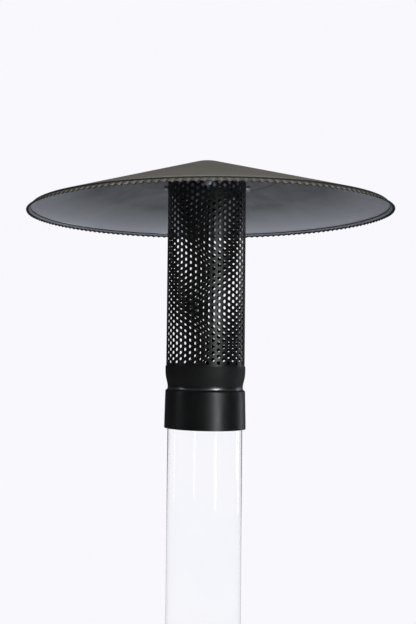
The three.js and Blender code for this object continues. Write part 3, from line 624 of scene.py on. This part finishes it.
def add_mounting_plate():
    low, high, hole, outer = PLATE_LOW, PLATE_LOW + 1.5, 3.4, 95
    inner_rib, outer_rib, edge_low = low - 1.6, low - 1.3, low - 1.5
    spigot_in, spigot_out, spigot_low = 50.0, 51.5, low - 16
    profile = rounded([
        (hole, low), (26, low, 2), (28.5, inner_rib, 2), (33.5, inner_rib, 2), (36, low, 2),
        (spigot_in, low, 1.2), (spigot_in, spigot_low), (spigot_out, spigot_low), (spigot_out, low, 0.8),
        (70, low, 2), (72.5, outer_rib, 2), (76.5, outer_rib, 2), (79, low, 2),
        (91.5, low, 1.5), (92.5, edge_low, 0.8), (outer, edge_low, 0.7), (outer, high, 0.3), (hole, high),
    ], 3)
    add("plate_ring", turned(profile, 160), reflector_under, "frame", "mounting_plate", sharp=40)


def add_stud_and_nut():
    low, pitch, root, crest = PLATE_LOW - 14, 1.0, 2.65, 3.0
    teeth = []
    z = low + 0.5
    while z < SCREEN_TOP:
        teeth += [(root, z), (crest, z + pitch / 2)]
        z += pitch
    sheet, gap, washer = 1.2, 0.6, 12
    washer_top = RIM + STEP_TOP + (STEP_RADIUS - BLUNT) * CONE_SLOPE - sheet - gap
    washer_low = washer_top - 2
    profile = rounded([
        (0, low), (2.5, low), *teeth, (2.9, z + 0.4), (2.9, washer_low),
        (washer, washer_low, 0.5), (washer, washer_top, 0.5), (0, washer_top),
    ], 2)
    add("apex_stud", turned(profile, 32), zinc, "frame", "reflector_stud", sharp=50)

    top, bore, half_wing = PLATE_LOW - 0.3, 3.1, 1.1
    low = top - 8
    hub = rounded([(bore, low), (4.6, low, 0.8), (6, top - 1.4, 0.6), (6, top), (bore, top)], 3)
    wing = rounded([(4, 0), (9, -3, 3), (16, -1.5, 2.5), (16, 6.5, 3), (10, 6.8, 3), (4.4, 7)], 4)
    wing = mapped(prism(wing, -half_wing, half_wing), lambda x, y, z: (x, z, low - 0.4 - y))
    nut = merged(turned(hub, 32), wing, spun(wing, 180))
    add("clamp_wing_nut", nut, zinc, "frame", "wing_nut", bevel=0.35)


def screen_columns():
    """The bearing of each column of holes, and the heights of its holes, in two staggered fields."""
    # bearing of the first column, its lowest hole, how much higher the next one starts, number of columns
    fields = ((-175.2, 752.05, -HOLE_PITCH / 2, 23), (11.6, 748.67, HOLE_PITCH / 2, 21))
    columns = []
    for first, lowest, stagger, count in fields:
        for k in range(count):
            start = lowest + (stagger if k % 2 else 0)
            rows = int((SCREEN_TOP - start) / HOLE_PITCH + 0.5)
            columns.append((first + k * COLUMN_WIDTH, [start + n * HOLE_PITCH for n in range(rows)]))
    return columns


def add_screen():
    """The rolled, perforated tube. Its fields of holes meet at plain strips."""
    low, high, quarter = SCREEN_LOW, SCREEN_TOP, COLUMN_WIDTH / 4
    hole_turn = math.degrees(HOLE_RADIUS / (SCREEN_RADIUS - SCREEN_WALL / 2))
    columns = screen_columns()
    verts, faces, known, heights = [], [], {}, {}

    def radius(inside):
        return SCREEN_RADIUS - (SCREEN_WALL if inside else 0)

    def vertex(bearing, z, inside):
        key = (round(bearing % 360, 3), round(z, 3), inside)
        if key not in known:
            known[key] = len(verts)
            a, r = math.radians(bearing), radius(inside)
            verts.append((r * math.cos(a), r * math.sin(a), z))
        return known[key]

    def between(bearing, bottom, top):
        """The heights of the vertices on a line between two heights, with both ends."""
        return sorted({bottom, top} | {z for z in heights.get(round(bearing % 360, 3), ()) if bottom < z < top})

    def plain(left, right, bottom, top):
        for inside in (False, True):
            face = [vertex(right, z, inside) for z in between(right, bottom, top)]
            face += [vertex(left, z, inside) for z in reversed(between(left, bottom, top))]
            faces.append(tuple(reversed(face)) if inside else tuple(face))

    def rims(left, right):
        for z, flip in ((low, False), (high, True)):
            corners = ((left, False), (left, True), (right, True), (right, False))
            face = [vertex(bearing, z, inside) for bearing, inside in corners]
            faces.append(tuple(reversed(face)) if flip else tuple(face))

    def perforated(left, middle):
        bottom, top = middle - HOLE_PITCH / 2, middle + HOLE_PITCH / 2
        edge = [(4, middle), (4, top), (3, top), (2, top), (1, top), (0, top)]
        edge += [(0, middle), (0, bottom), (1, bottom), (2, bottom), (3, bottom), (4, bottom)]
        hole = []
        for inside in (False, True):
            hole.append(len(verts))
            r = radius(inside)
            for j in range(HOLE_SIDES):
                t = TAU * j / HOLE_SIDES
                a = math.radians(left + 2 * quarter + hole_turn * math.cos(t))
                verts.append((r * math.cos(a), r * math.sin(a), middle + HOLE_RADIUS * math.sin(t)))
            ring = [vertex(left + q * quarter, z, inside) for q, z in edge]
            for j in range(HOLE_SIDES):
                n = (j + 1) % HOLE_SIDES
                face = (ring[j], ring[n], hole[-1] + n, hole[-1] + j)
                faces.append(tuple(reversed(face)) if inside else face)
        for j in range(HOLE_SIDES):
            n = (j + 1) % HOLE_SIDES
            faces.append((hole[0] + j, hole[0] + n, hole[1] + n, hole[1] + j))

    for bearing, centres in columns:
        for side in (-0.5, 0.5):
            line = heights.setdefault(round((bearing + side * COLUMN_WIDTH) % 360, 3), {low, high})
            line.update(round(z + half, 3) for z in centres for half in (-HOLE_PITCH / 2, 0, HOLE_PITCH / 2))
    for (bearing, centres), (following, _) in zip(columns, columns[1:] + columns[:1]):
        left = bearing - COLUMN_WIDTH / 2
        first, last = round(centres[0] - HOLE_PITCH / 2, 3), round(centres[-1] + HOLE_PITCH / 2, 3)
        for q in range(4):
            a = left + q * quarter
            plain(a, a + quarter, low, first)
            plain(a, a + quarter, last, high)
            rims(a, a + quarter)
        right = left + COLUMN_WIDTH
        gap = (following - COLUMN_WIDTH / 2 - right) % 360
        if 0.01 < gap < 359:
            plain(right, right + gap, low, high)
            rims(right, right + gap)
        for middle in centres:
            perforated(left, middle)
    add("flame_screen", (verts, faces), screen_paint, "frame", "screen", sharp=40)


def add_screen_bolts():
    seat, height, shank, pitch = 52.9, 984, 9, 0.8
    washer_top = seat + 0.7
    washer = turned(rounded([(2.5, seat), (5.4, seat), (5.4, washer_top, 0.3), (2.5, washer_top)], 2), 40)
    head = hexagon(8, washer_top, seat + 5.2)
    teeth = []
    z = seat - shank
    while z < seat + 0.6:
        teeth += [(2.0, z), (2.4, z + pitch / 2)]
        z += pitch
    bolt = merged(washer, head, turned([(0, seat - shank), *teeth, (0, seat + 1)], 24))
    for i in range(4):
        shape = outwards(bolt, BOLT_TURN + 90 * i, height)
        add(f"hex_bolt_{i + 1}", shape, zinc, "frame", f"screen_bolt_{i + 1}", sharp=30)


def add_collar():
    low, wall, groove_low, groove_high, band_low = 660, 0.7, 51.6, 54.6, 56
    outline = [
        (54.5, 0), (54.35, 10), (53.9, 30), (53.55, 44), (53.45, 49.2), (53.2, 50.4), (51.2, groove_low),
        (50.55, 53), (50.4, groove_high), (50.45, 56.6), (50.9, 59.6), (51.7, 63), (52.5, 66.2), (53.1, 69.4),
        (53.45, 73), (53.6, 77), (53.6, 83),
    ]
    outside = [(r, low + z) for r, z in outline]
    inside = [(r - wall, low + z) for r, z in reversed(outline)]
    lip = (outside[-1][0] - 0.15, outside[-1][1])
    shape = turned([*outside, lip, *inside], 160)
    obj = add("grooved_collar", shape, black_paint, "frame", "collar", sharp=60,
              more_finishes=(band_paint, groove_painted_glint))
    for polygon in obj.data.polygons:
        height = polygon.center.z / MM - low
        if height > band_low:
            polygon.material_index = 1
        # the groove's band takes the pale metal of the painted glint
        elif groove_low < height < groove_high:
            polygon.material_index = 2


def add_glass():
    add("flame_tube", turned(section(47, 50, 348, 708, 1.2, 5), 160), glass, "frame", "glass_tube", sharp=70)
    upper, lower = section(47, 52, 708.3, 710.6, 0.6), section(44.6, 49.7, 344.7, 347.7, 0.8)
    add("upper_glass_gasket", turned(upper), gasket, "frame", "upper_gasket")
    add("lower_glass_gasket", turned(lower), gasket, "frame", "lower_gasket")


# ---------------------------------------------------------------- base, housing and door
SHELL_RADIUS = 110
SHEET = 1.5
DOOR_START, DOOR_STOP = -142, -38  # bearings of the door opening's sides
CONTROL_HEIGHT, KNOB_X, IGNITER_X = 291, -24, 31
CYLINDER_Y = 24
PIPE_HOLE = (34, -30)


def at_knob(shape):
    return facing_front(shape, KNOB_X, CONTROL_HEIGHT)


def at_igniter(shape):
    return facing_front(shape, IGNITER_X, CONTROL_HEIGHT)


def at_pull(shape):
    return outwards(shape, -50, 132)


def add_base():
    low, high, radius, feet_radius = 6.3, 14.3, 150, 126
    disc = rounded([(0, low), (radius, low, 1.0), (radius, high, 2.6), (0, high)], 6)
    add("base_disc", turned(disc, 192), housing_paint, "frame", "base_plate", sharp=40)
    sole = rounded([
        (0, 0.8), (3.5, 0.8, 0.4), (4.2, 0, 0.3), (6.6, 0, 0.3), (7.2, 0.8, 0.3), (8.4, 0.8, 0.3), (9, 0, 0.3),
        (11.3, 0, 0.8), (12, 2, 0.6), (11.6, 6, 0.3), (0, 6),
    ], 3)
    for i in range(4):
        shape = moved(turned(sole, 64), *around(feet_radius, 45 + 90 * i))
        add(f"rubber_foot_{i + 1}", shape, rubber, "frame", f"foot_{i + 1}", sharp=50)


def vent(bearing, z):
    return outwards(prism(rectangle(24, 5, 2.45, 6), 100, 120), bearing, z)


def add_housing():
    outer, inner, low, high, flange = SHELL_RADIUS, SHELL_RADIUS - SHEET, 14.6, 342.6, 96
    shell = rounded([
        (flange, low), (outer, low, 1.2), (outer, high, 0.4), (inner, high), (inner, low + SHEET, 0.5),
        (flange, low + SHEET),
    ], 4)
    opening = swept(section(106, 112, 24.6, 232.6), DOOR_START, DOOR_STOP, 104)
    vents = [vent(bearing, 46.6) for bearing in range(60, 121, 12)]
    vents += [vent(bearing, 308.6) for bearing in range(30, 151, 15)]
    holes = [at_knob(turned(section(0, 9, 90, 125), 32)), at_igniter(turned(section(0, 10.5, 90, 125), 32))]
    cutter = merged(opening, *vents, *holes)
    add("housing_tube", turned(shell, 240), housing_paint, "frame", "housing_shell", sharp=40, cut=cutter)


def add_partition_and_deck():
    low, high, groove, radius = 250, 251.2, 250.9, 108.2
    shield = rounded([
        (0, low), (radius, low), (radius, high, 0.3), (80, high, 0.5), (79, groove, 0.4), (74, groove, 0.4),
        (73, high, 0.5), (0, high),
    ], 2)
    hole = moved(turned(section(0, 8, 245, 256), 32), *PIPE_HOLE)
    add("heat_shield", turned(shield, 128), zinc, "frame", "partition_plate", cut=hole)

    inner, outer, hole, skirt, high = SHELL_RADIUS + 0.3, SHELL_RADIUS + 1.8, 44, 330.9, 344.4
    low = high - SHEET
    deck = rounded([
        (hole, low), (inner, low, 0.5), (inner, skirt), (outer, skirt, 0.5), (outer, high, 2.2),
        (hole, high, 0.5),
    ], 5)
    add("deck_cap", turned(deck, 240), housing_paint, "frame", "deck", sharp=40)


def add_door():
    margin, edge = math.degrees(1.2 / SHELL_RADIUS), math.degrees(SHEET / SHELL_RADIUS)
    start, stop = DOOR_START + margin, DOOR_STOP - margin
    low, high, outer, inner, lip = 25.8, 231.4, SHELL_RADIUS, SHELL_RADIUS - SHEET, 100.5
    skin = rounded([
        (lip, low), (outer, low, 1.0), (outer, high, 1.0), (lip, high), (lip, high - SHEET),
        (inner, high - SHEET, 0.4), (inner, low + SHEET, 0.4), (lip, low + SHEET),
    ], 3)
    side = section(lip, 109.2, low, high)
    panel = merged(
        swept(skin, start, stop, 96), swept(side, start, start + edge, 1), swept(side, stop - edge, stop, 1))
    hole = at_pull(turned(section(0, 2.4, 100, 120), 24))
    add("door_skin", panel, housing_paint, "door", "door_panel", sharp=40, cut=hole)


def add_pull_and_catch():
    seat = SHELL_RADIUS + 0.3
    pull = turned(rounded([
        (0, seat), (6, seat, 0.6), (4, seat + 3, 2), (4, seat + 10, 2), (9, seat + 12.5, 1.2),
        (9, seat + 16, 1.2), (7, seat + 18, 0.8), (0, seat + 17.4),
    ], 5), 64)
    add("pull_knob", at_pull(pull), steel, "door", "door_pull", sharp=60)
    head = 104.6
    screw = turned(rounded([
        (0, head), (3.0, head, 0.8), (3.8, head + 1.6, 0.5), (3.8, head + 3.3, 0.2), (2, head + 3.3),
        (2, seat + 10), (0, seat + 10),
    ], 3), 32)
    slot = at_pull(block(6, 1.1, 2.4, 0, 0, head))
    add("pull_screw", at_pull(screw), zinc, "door", "door_pull_screw", cut=slot)
    latch = swept(section(95.5, 107.5, 119, 145, 1), DOOR_STOP - 0.2, DOOR_STOP + 6.8, 8)
    add("door_magnet", latch, black_plastic, "frame", "magnet_catch")


def add_hinge(label, low):
    """Two leaves with interlocking knuckles. Distances along the shell are turned into degrees by per_mm."""
    inner, outer, pin_ring, leaf, height = 110.3, 111.5, 114, 17, 36
    per_mm = math.degrees(1 / 111.2)
    third, play = height / 3, 0.4
    rivet = turned(rounded([(0, outer), (2.6, outer), (2.3, outer + 0.9, 0.8), (0, outer + 1.3)], 4), 32)
    x, y = around(pin_ring, DOOR_START)

    def plate(side, spans):
        """A leaf on one side of the pin, with a knuckle for each span of heights."""
        near, far = (DOOR_START + side * reach * per_mm for reach in (2.7, leaf))
        outline = rounded([
            (inner, low, 0.3), (outer, low, 0.4), (outer, low + height, 0.4), (inner, low + height, 0.3)], 2)
        shapes = [swept(outline, min(near, far), max(near, far), 8)]
        start, stop = sorted((DOOR_START - side * 0.4, near + side * 0.4))
        for bottom, top in spans:
            shapes.append(moved(turned(rod(3.2, bottom, top, 0.35, bore=1.75), 32), x, y))
            shapes.append(swept(section(inner, outer + 0.6, bottom, top), start, stop, 3))
        for up in (8, 28):
            shapes.append(outwards(rivet, DOOR_START + side * 10.5 * per_mm, low + up))
        return merged(*shapes)

    fixed = plate(-1, [(low, low + third - play), (low + 2 * third + play, low + height)])
    add(f"hinge_{label}_fixed_plate", fixed, housing_paint, "frame", f"hinge_{label}_housing_leaf")
    moving = plate(1, [(low + third, low + 2 * third)])
    add(f"hinge_{label}_moving_plate", moving, housing_paint, "door", f"hinge_{label}_door_leaf")
    foot, head = low - 1, low + height + 0.3
    pin = turned(rounded([
        (0, foot), (1.45, foot, 0.4), (1.45, head), (2.8, head), (2.8, head + 1.2, 0.8), (0, head + 1.2),
    ], 3), 32)
    add(f"hinge_{label}_rod", moved(pin, x, y), steel, "frame", f"hinge_{label}_pin")


def add_glass_seat():
    bore, rise, low, flange_top, top = 50.4, 54.5, 344.7, 347.2, 371.7
    seat = rounded([
        (bore, low), (66, low), (66, flange_top, 0.9), (rise, flange_top, 1.6), (rise, top, 1.6),
        (bore, top, 0.5),
    ], 6)
    add("tube_socket", turned(seat, 160), housing_paint, "frame", "glass_socket", sharp=40)
    low, shank_low, screw_ring = 347.5, 344.9, 60
    head = turned(rounded([
        (0, shank_low), (1.8, shank_low), (1.8, low), (3.6, low, 0.2), (3.6, low + 1.2, 0.8),
        (2.2, low + 2.3, 1), (0, low + 2.3),
    ], 4), 40)
    reach, half = 1.8, 0.4
    arm = [(reach, -half), (reach, half), (half, half)]
    quarters = (lambda x, y: (x, y), lambda x, y: (-y, x), lambda x, y: (-x, -y), lambda x, y: (y, -x))
    cross = prism([turn(*point) for turn in quarters for point in arm], low + 1.3, low + 3.3)
    for i in range(3):
        x, y = around(screw_ring, -90 + 120 * i)
        add(f"seat_screw_{i + 1}", moved(head, x, y), zinc, "frame", f"socket_screw_{i + 1}",
            cut=moved(cross, x, y))


# ---------------------------------------------------------------- controls
def add_panel():
    back, front, space_radius, dial_radius = 86, 116, 110.3, 25
    middle = (KNOB_X + IGNITER_X) / 2
    shell = facing_front(prism(rectangle(124, 58, 10, 10), back, front), middle, CONTROL_HEIGHT)
    space = turned(section(0, space_radius, 240, 340), 240)
    holes = [at_knob(turned(section(0, 6.5, 80, 117), 48)), at_igniter(turned(section(0, 10, 80, 117), 48))]
    add("front_panel", shell, housing_paint, "frame", "control_panel", sharp=40, bevel=1.0,
        cut=merged(space, *holes))

    print_top = front + 0.15
    marks = []
    for k in range(8):
        inner, outer = (0, 0.5 + 0.14 * k) if k else (0.75, 1.3)
        dot = turned(section(inner, outer, front, print_top), 24)
        x, z = around(dial_radius, 90 + 30 * k)
        marks.append(facing_front(dot, KNOB_X + x, CONTROL_HEIGHT + z))
    spark = [around(1.0 if k % 2 else 3.2, 90 - 45 * k) for k in range(8)]
    marks.append(facing_front(prism(spark, front, print_top), IGNITER_X, 310))
    add("dial_marks", merged(*marks), white_print, "frame")


def add_knob():
    back, front, flats_x = 119.8, 139.8, 14
    rib_count, rib_depth = 40, 0.7
    profile = rounded([
        (0, back + 3), (13, back + 3), (13, back), (19, back, 0.6), (19, back + 4, 1.0), (16.2, back + 6, 1.5),
        (15, front - 1.5, 0.5), (13.5, front, 1.2), (0, front),
    ], 5)

    def ribs(r, z, a):
        return (r - rib_depth * (1 - math.cos(rib_count * a)) / 2 if r > 17.5 else r), z

    sides = merged(*[block(12, 32, 13.2, side * flats_x, 0, front - 0.6) for side in (-1, 1)])
    add("control_knob", at_knob(turned(profile, 160, ribs)), black_plastic, "knob", "knob", sharp=35, bevel=0.6,
        cut=at_knob(sides))
    line = prism([(x, y + 8.2) for x, y in rectangle(1.8, 8, 0.85, 5)], front - 0.2, front + 0.15)
    add("knob_pointer", at_knob(line), white_print, "knob")
    add("control_stem", at_knob(turned(rod(2.6, 99, 133.5, 0.3), 32)), steel, "knob", "valve_stem")
    low, high = 104, 106.5
    ring = turned(rounded([(3, low, 0.3), (5.6, low, 0.4), (5.6, high, 0.4), (3, high, 0.3)], 3), 32)
    add("stem_ring", at_knob(ring), brass, "stem_push", "stem_collar")


def add_igniter():
    back, front, bezel, bezel_top = 110, 125, 116.3, 117.8
    button = turned(rounded([
        (0, back), (8, back, 0.3), (8, front, 1.4), (5.5, front, 1.5), (0, front - 1.1)], 6), 64)
    add("spark_button", at_igniter(button), black_plastic, "igniter_button", "igniter_button", sharp=60)
    body = merged(
        turned(rounded([(0, 66), (9.5, 66, 0.8), (9.5, 101), (0, 101)], 4), 48),
        turned(section(8.3, 9.5, 100, 117.5), 48),
        turned(rounded([(9, bezel), (12.5, bezel, 0.3), (12.5, bezel_top, 0.9), (9, bezel_top, 0.4)], 4), 64),
        hexagon(25, 104, 108.5, bore=9.4),
    )
    add("spark_unit", at_igniter(body), black_plastic, "frame", "igniter_body", sharp=50)


def add_valve():
    body = moved(prism(rectangle(30, 40, 2), 276.3, 305.7), KNOB_X, -80)
    magnet = merged(hexagon(17, 0, 5), turned(rounded([(0, 5), (8, 5), (8, 20, 1.5), (0, 20)], 4), 48))
    magnet = mapped(magnet, lambda a, b, c: (KNOB_X - 15 - c, b - 74, a + CONTROL_HEIGHT))
    boss = at_knob(turned(rounded([(3.1, 100), (9, 100), (9, 100.8, 0.4), (3.1, 100.8)], 3), 40))
    add("gas_cock", merged(body, magnet, boss), brass, "frame", "gas_valve", bevel=0.5)


# ---------------------------------------------------------------- gas, burner and tip-over switch
def add_cylinder_and_tray():
    inner, outer, low, rim, hole = 50.5, 52, 14.6, 28.6, 37.5
    tray = rounded([
        (hole, low), (outer, low, 0.8), (outer, rim, 0.7), (inner, rim, 0.7), (inner, low + SHEET, 0.5),
        (hole, low + SHEET),
    ], 4)
    add("cylinder_tray", moved(turned(tray, 128), 0, CYLINDER_Y), zinc, "frame", "cylinder_cradle")
    r, foot, top = 49.5, 16.4, 216.4
    outline = rounded([
        (0, foot + 3), (36, foot + 3, 4), (40, foot, 1), (44, foot, 1.5), (r, foot + 8, 10),
        (r, 112), (r + 0.45, 113, 0.4), (r + 0.45, 116, 0.4), (r, 117), (r, top - 33, 18), (41, top - 19, 14),
        (27, top - 10, 8), (14.5, top - 8.5, 1.2), (14.5, top - 4, 0.6), (12, top - 4, 0.6), (12, top, 0.6),
        (9, top, 0.4), (9, top - 9), (0, top - 9),
    ], 6)
    bottle = moved(turned(outline, 128), 0, CYLINDER_Y)
    add("gas_bottle", bottle, cylinder_paint, "frame", "gas_cylinder", sharp=50)


def add_regulator():
    dome = turned(rounded([
        (0, 212), (8.6, 212), (8.6, 214), (15, 214, 0.6), (15, 220, 0.5), (19, 221, 0.5), (24, 223, 1.5),
        (24, 229, 0.6), (22.8, 229.6, 0.3), (22.8, 231.4, 0.3), (24, 232, 0.6), (24, 236, 3), (15, 241, 5),
        (7, 243, 1.5), (0, 243),
    ], 5), 96)
    outlet = facing_front(merged(turned(section(0, 5, 20, 32), 32), hexagon(14, 22, 27.5)), 0, 232)
    add("gas_regulator", moved(merged(dome, outlet), 0, CYLINDER_Y), zinc, "frame", "regulator", sharp=40)


def joined(name, main, finish, extra, extra_finish, stands_for):
    """A piece with fittings in a second material."""
    obj = add(name, merged(main, extra), finish, "frame", stands_for, more_finishes=(extra_finish,))
    for polygon in obj.data.polygons[len(main[1]):]:
        polygon.material_index = 1


def add_pipes():
    z, (x, y), valve_y = 232, PIPE_HOLE, -76
    supply = [
        (0, -8.3, z), (0, -16.3, z), (14, -26.3, z), (x - 4, y, z + 6), (x, y, z + 14), (x, y, 259),
        (x - 14, y - 22, 264), (-10, valve_y, 264), (KNOB_X, valve_y, 270), (KNOB_X, valve_y, 275.7),
    ]
    regulator_nut = moved(facing_front(hexagon(11, 0, 6, bore=2.9), 0, z), y=-8.4)
    valve_nut = moved(hexagon(11, 269, 275.6, bore=2.9), KNOB_X, valve_y)
    joined(
        "supply_tube", tube(supply, 3, 10, 24), copper, merged(regulator_nut, valve_nut), brass, "supply_pipe")
    z = 287
    feed = [
        (KNOB_X, -59.7, z), (KNOB_X, -48, z), (-18, -34, z - 10), (-8, -16, z - 20), (0, -5, z - 20),
        (0, 0, 274), (0, 0, 280.7),
    ]
    valve_nut = mapped(hexagon(10, 0, 6, bore=2.4), lambda a, b, c: (a + KNOB_X, c - 59.8, b + z))
    jet_nut = hexagon(10, 274.6, 280.6, bore=2.4)
    joined("feed_tube", tube(feed, 2.5, 10, 24), copper, merged(valve_nut, jet_nut), brass, "feed_pipe")


def add_jet_and_mixing_pipe():
    bore, low, flange, flange_top, top = 1.2, 281, 285.5, 288.5, 294
    jet = rounded([
        (bore, low), (5.5, low, 0.5), (5.5, flange), (9.5, flange, 0.3), (9.5, flange_top, 0.3),
        (5.5, flange_top), (5.5, 292), (3, top, 0.6), (bore, top),
    ], 3)
    add("gas_jet", turned(jet, 48), brass, "frame", "injector")
    # the second port cutter is a hair larger and off centre, so that no faces of the two coincide
    ports = merged(block(40, 8, 9, 0, 0, 300), block(8, 40, 9.02, 0.003, 0, 300))
    pipe = turned(section(9.8, 11, 285, 325.7), 64)
    add("mixing_pipe", pipe, steel, "frame", "mixing_tube", cut=ports)


def add_burner():
    bore, neck, low, rim, outer = 9.8, 15, 326, 356, 33
    bowl = rounded([
        (bore, low), (neck, low, 1.5), (outer, 340, 6), (outer, rim, 0.6), (outer - 1.2, rim, 0.6),
        (outer - 1.2, 341, 5), (neck - 0.5, low + 1.2, 1), (bore, low + 1.2),
    ], 6)
    add("burner_cup", turned(bowl, 96), steel, "frame", "burner_bowl", sharp=50)
    holes = []
    for count, ring, radius in ((8, 25, 2.4), (12, 16, 1.3), (6, 8, 1.3)):
        drill = turned(section(0, radius, 349, 354), 16)
        holes += [moved(drill, *around(ring, 360 * k / count)) for k in range(count)]
    plate = turned(section(0, 31.5, 351, 352), 96)
    add("burner_top", plate, steel, "frame", "burner_plate", cut=merged(*holes))


def add_electrode_and_probe():
    reach, low, up, panel_z = 38.4, 308, 320, 291
    insulator = rounded([(0, low), (2.5, low, 0.4), (2.5, up + 26, 0.6), (0, up + 26)], 3)
    needle = rounded([(0, up + 25), (0.9, up + 25), (0.9, up + 44, 0.5), (0, up + 44)], 2)
    insulator, needle = moved(turned(insulator, 32), reach), moved(turned(needle, 16), reach)
    joined("spark_electrode", insulator, ceramic, needle, steel, "electrode")
    probe = rounded([
        (0, low), (2.5, low, 0.5), (2.5, up + 24, 0.6), (1.6, up + 27, 0.6), (1.6, up + 40, 1),
        (0, up + 41),
    ], 3)
    add("flame_probe", moved(turned(probe, 32), -reach), steel, "frame", "thermocouple", sharp=50)
    spark_wire = [
        (reach, 0, low - 0.3), (reach, 0, low - 8), (reach + 2, -22, low - 18), (33, -48, 288), (31, -58, 288),
        (31, -65.7, 288),
    ]
    add("ignition_wire", tube(spark_wire, 1.2, 10), wire_cover, "frame", "ignition_lead")
    probe_wire = [
        (-reach, 0, low - 0.3), (-reach, 0, low - 8), (-reach - 16, -22, low - 14), (-75, -50, panel_z + 2),
        (-69, -72, panel_z), (-59.3, -74, panel_z),
    ]
    add("probe_wire", tube(probe_wire, 1.0, 10), copper, "frame", "thermocouple_lead")


def add_tilt_switch():
    pivot = (-72, 10, 46.6)
    bob = turned(rounded([
        (0, -24), (4.5, -24, 1), (6.5, -22, 1), (6.5, -16, 1), (4.5, -14, 1), (1.3, -14, 0.6), (1.3, -2.6),
        (0, -2.6),
    ], 4), 48)
    eye = outwards(turned(rod(3.4, -3, 3, 0.4, 3, bore=1.25), 40), 0)
    add("tilt_weight", moved(merged(bob, eye), *pivot), brass, "tilt_pendulum", "tilt_pendulum", sharp=50)
    axle = outwards(turned(rod(1.1, -13, 13, 0.4), 24), 0)
    add("tilt_axle", moved(axle, *pivot), steel, "frame", "tilt_pin")


add_reflector()
add_mounting_plate()
add_stud_and_nut()
add_screen()
add_screen_bolts()
add_collar()
add_glass()
add_glass_seat()
add_base()
add_housing()
add_partition_and_deck()
add_door()
add_pull_and_catch()
add_hinge("lower", 48)
add_hinge("upper", 176)
add_panel()
add_knob()
add_igniter()
add_valve()
add_cylinder_and_tray()
add_regulator()
add_pipes()
add_jet_and_mixing_pipe()
add_burner()
add_electrode_and_probe()
add_tilt_switch()

# These CAD nodes keep their shape. They are shown in the housing's paint.
for kept in ("valve_bracket", "burner_bracket", "tilt_frame"):
    for material_slot in nodes[kept].material_slots:
        material_slot.material = housing_paint.material
    soften(nodes[kept], 0.3)


# ---------------------------------------------------------------- floor and light
BACKGROUND = (0.947, 0.939, 0.982, 1)
FLOOR_RADIUS = 6  # metres


def add_floor():
    """A pale disc that fades into the background away from the object, as the camera sees it."""
    segments = 96
    verts = [(0, 0, 0)] + [(*around(FLOOR_RADIUS, 360 * j / segments), 0) for j in range(segments)]
    faces = [(0, 1 + j, 1 + (j + 1) % segments) for j in range(segments)]
    mesh = bpy.data.meshes.new("floor")
    mesh.from_pydata(verts, [], faces)
    floor = bpy.data.objects.new("floor", mesh)
    scene.collection.objects.link(floor)
    f = Finish("pale_floor", "none", Roughness=0.8)
    f.shader.inputs["Base Color"].default_value = (0.80, 0.80, 0.82, 1)
    glow = f.node("ShaderNodeEmission")
    glow.inputs["Color"].default_value = BACKGROUND
    length = f.vector("LENGTH", f.place).outputs["Value"]
    path = f.node("ShaderNodeLightPath")
    direct = f.combined("MAXIMUM", path.outputs["Is Camera Ray"], path.outputs["Transmission Depth"])
    blend = f.node("ShaderNodeMixShader")
    f.link(f.combined("MULTIPLY", direct, f.remap(length, 0.5, 1, 0.3, 1.3)), blend.inputs[0])
    f.link(f.shader.outputs[0], blend.inputs[1])
    f.link(glow.outputs[0], blend.inputs[2])
    f.link(blend.outputs[0], f.tree.nodes["Material Output"].inputs["Surface"])
    mesh.materials.append(f.material)


def add_world():
    world = bpy.data.worlds.new("studio")
    scene.world = world
    world.use_nodes = True
    tree = world.node_tree
    tree.nodes.clear()
    out = tree.nodes.new("ShaderNodeOutputWorld")
    seen = tree.nodes.new("ShaderNodeBackground")
    seen.inputs["Color"].default_value = BACKGROUND
    dim = tree.nodes.new("ShaderNodeBackground")
    dim.inputs["Color"].default_value = (0.86, 0.9, 1, 1)
    dim.inputs["Strength"].default_value = 0.07
    path = tree.nodes.new("ShaderNodeLightPath")
    either = tree.nodes.new("ShaderNodeMath")
    either.operation = "MAXIMUM"
    tree.links.new(path.outputs["Is Camera Ray"], either.inputs[0])
    tree.links.new(path.outputs["Transmission Depth"], either.inputs[1])
    mix = tree.nodes.new("ShaderNodeMixShader")
    tree.links.new(either.outputs[0], mix.inputs[0])
    tree.links.new(dim.outputs[0], mix.inputs[1])
    tree.links.new(seen.outputs[0], mix.inputs[2])
    tree.links.new(mix.outputs[0], out.inputs["Surface"])


def add_light(name, place, aim, width, height, power, colour=(1, 1, 1)):
    data = bpy.data.lights.new(name, "AREA")
    data.shape = "RECTANGLE"
    data.size, data.size_y = width, height
    data.energy = power
    data.color = colour
    light = bpy.data.objects.new(name, data)
    scene.collection.objects.link(light)
    light.location = place
    light.rotation_euler = (Vector(aim) - Vector(place)).to_track_quat("-Z", "Y").to_euler()


add_floor()
add_world()
add_light("key", (1.44, -2.14, 1.1), (0, 0, 0.75), 0.32, 1.9, 36, (0.97, 1, 1))
add_light("rim_right", (2.2, 1.5, 1.0), (0, 0, 0.8), 0.3, 1.8, 8, (0.9, 0.94, 1))
add_light("fill_left", (-2.6, -0.6, 1.4), (0, 0, 0.6), 0.6, 2.0, 4)
add_light("overhead", (0, -0.2, 2.9), (0, 0, 0.9), 2.0, 2.0, 26)
scene.view_settings.view_transform = "Standard"
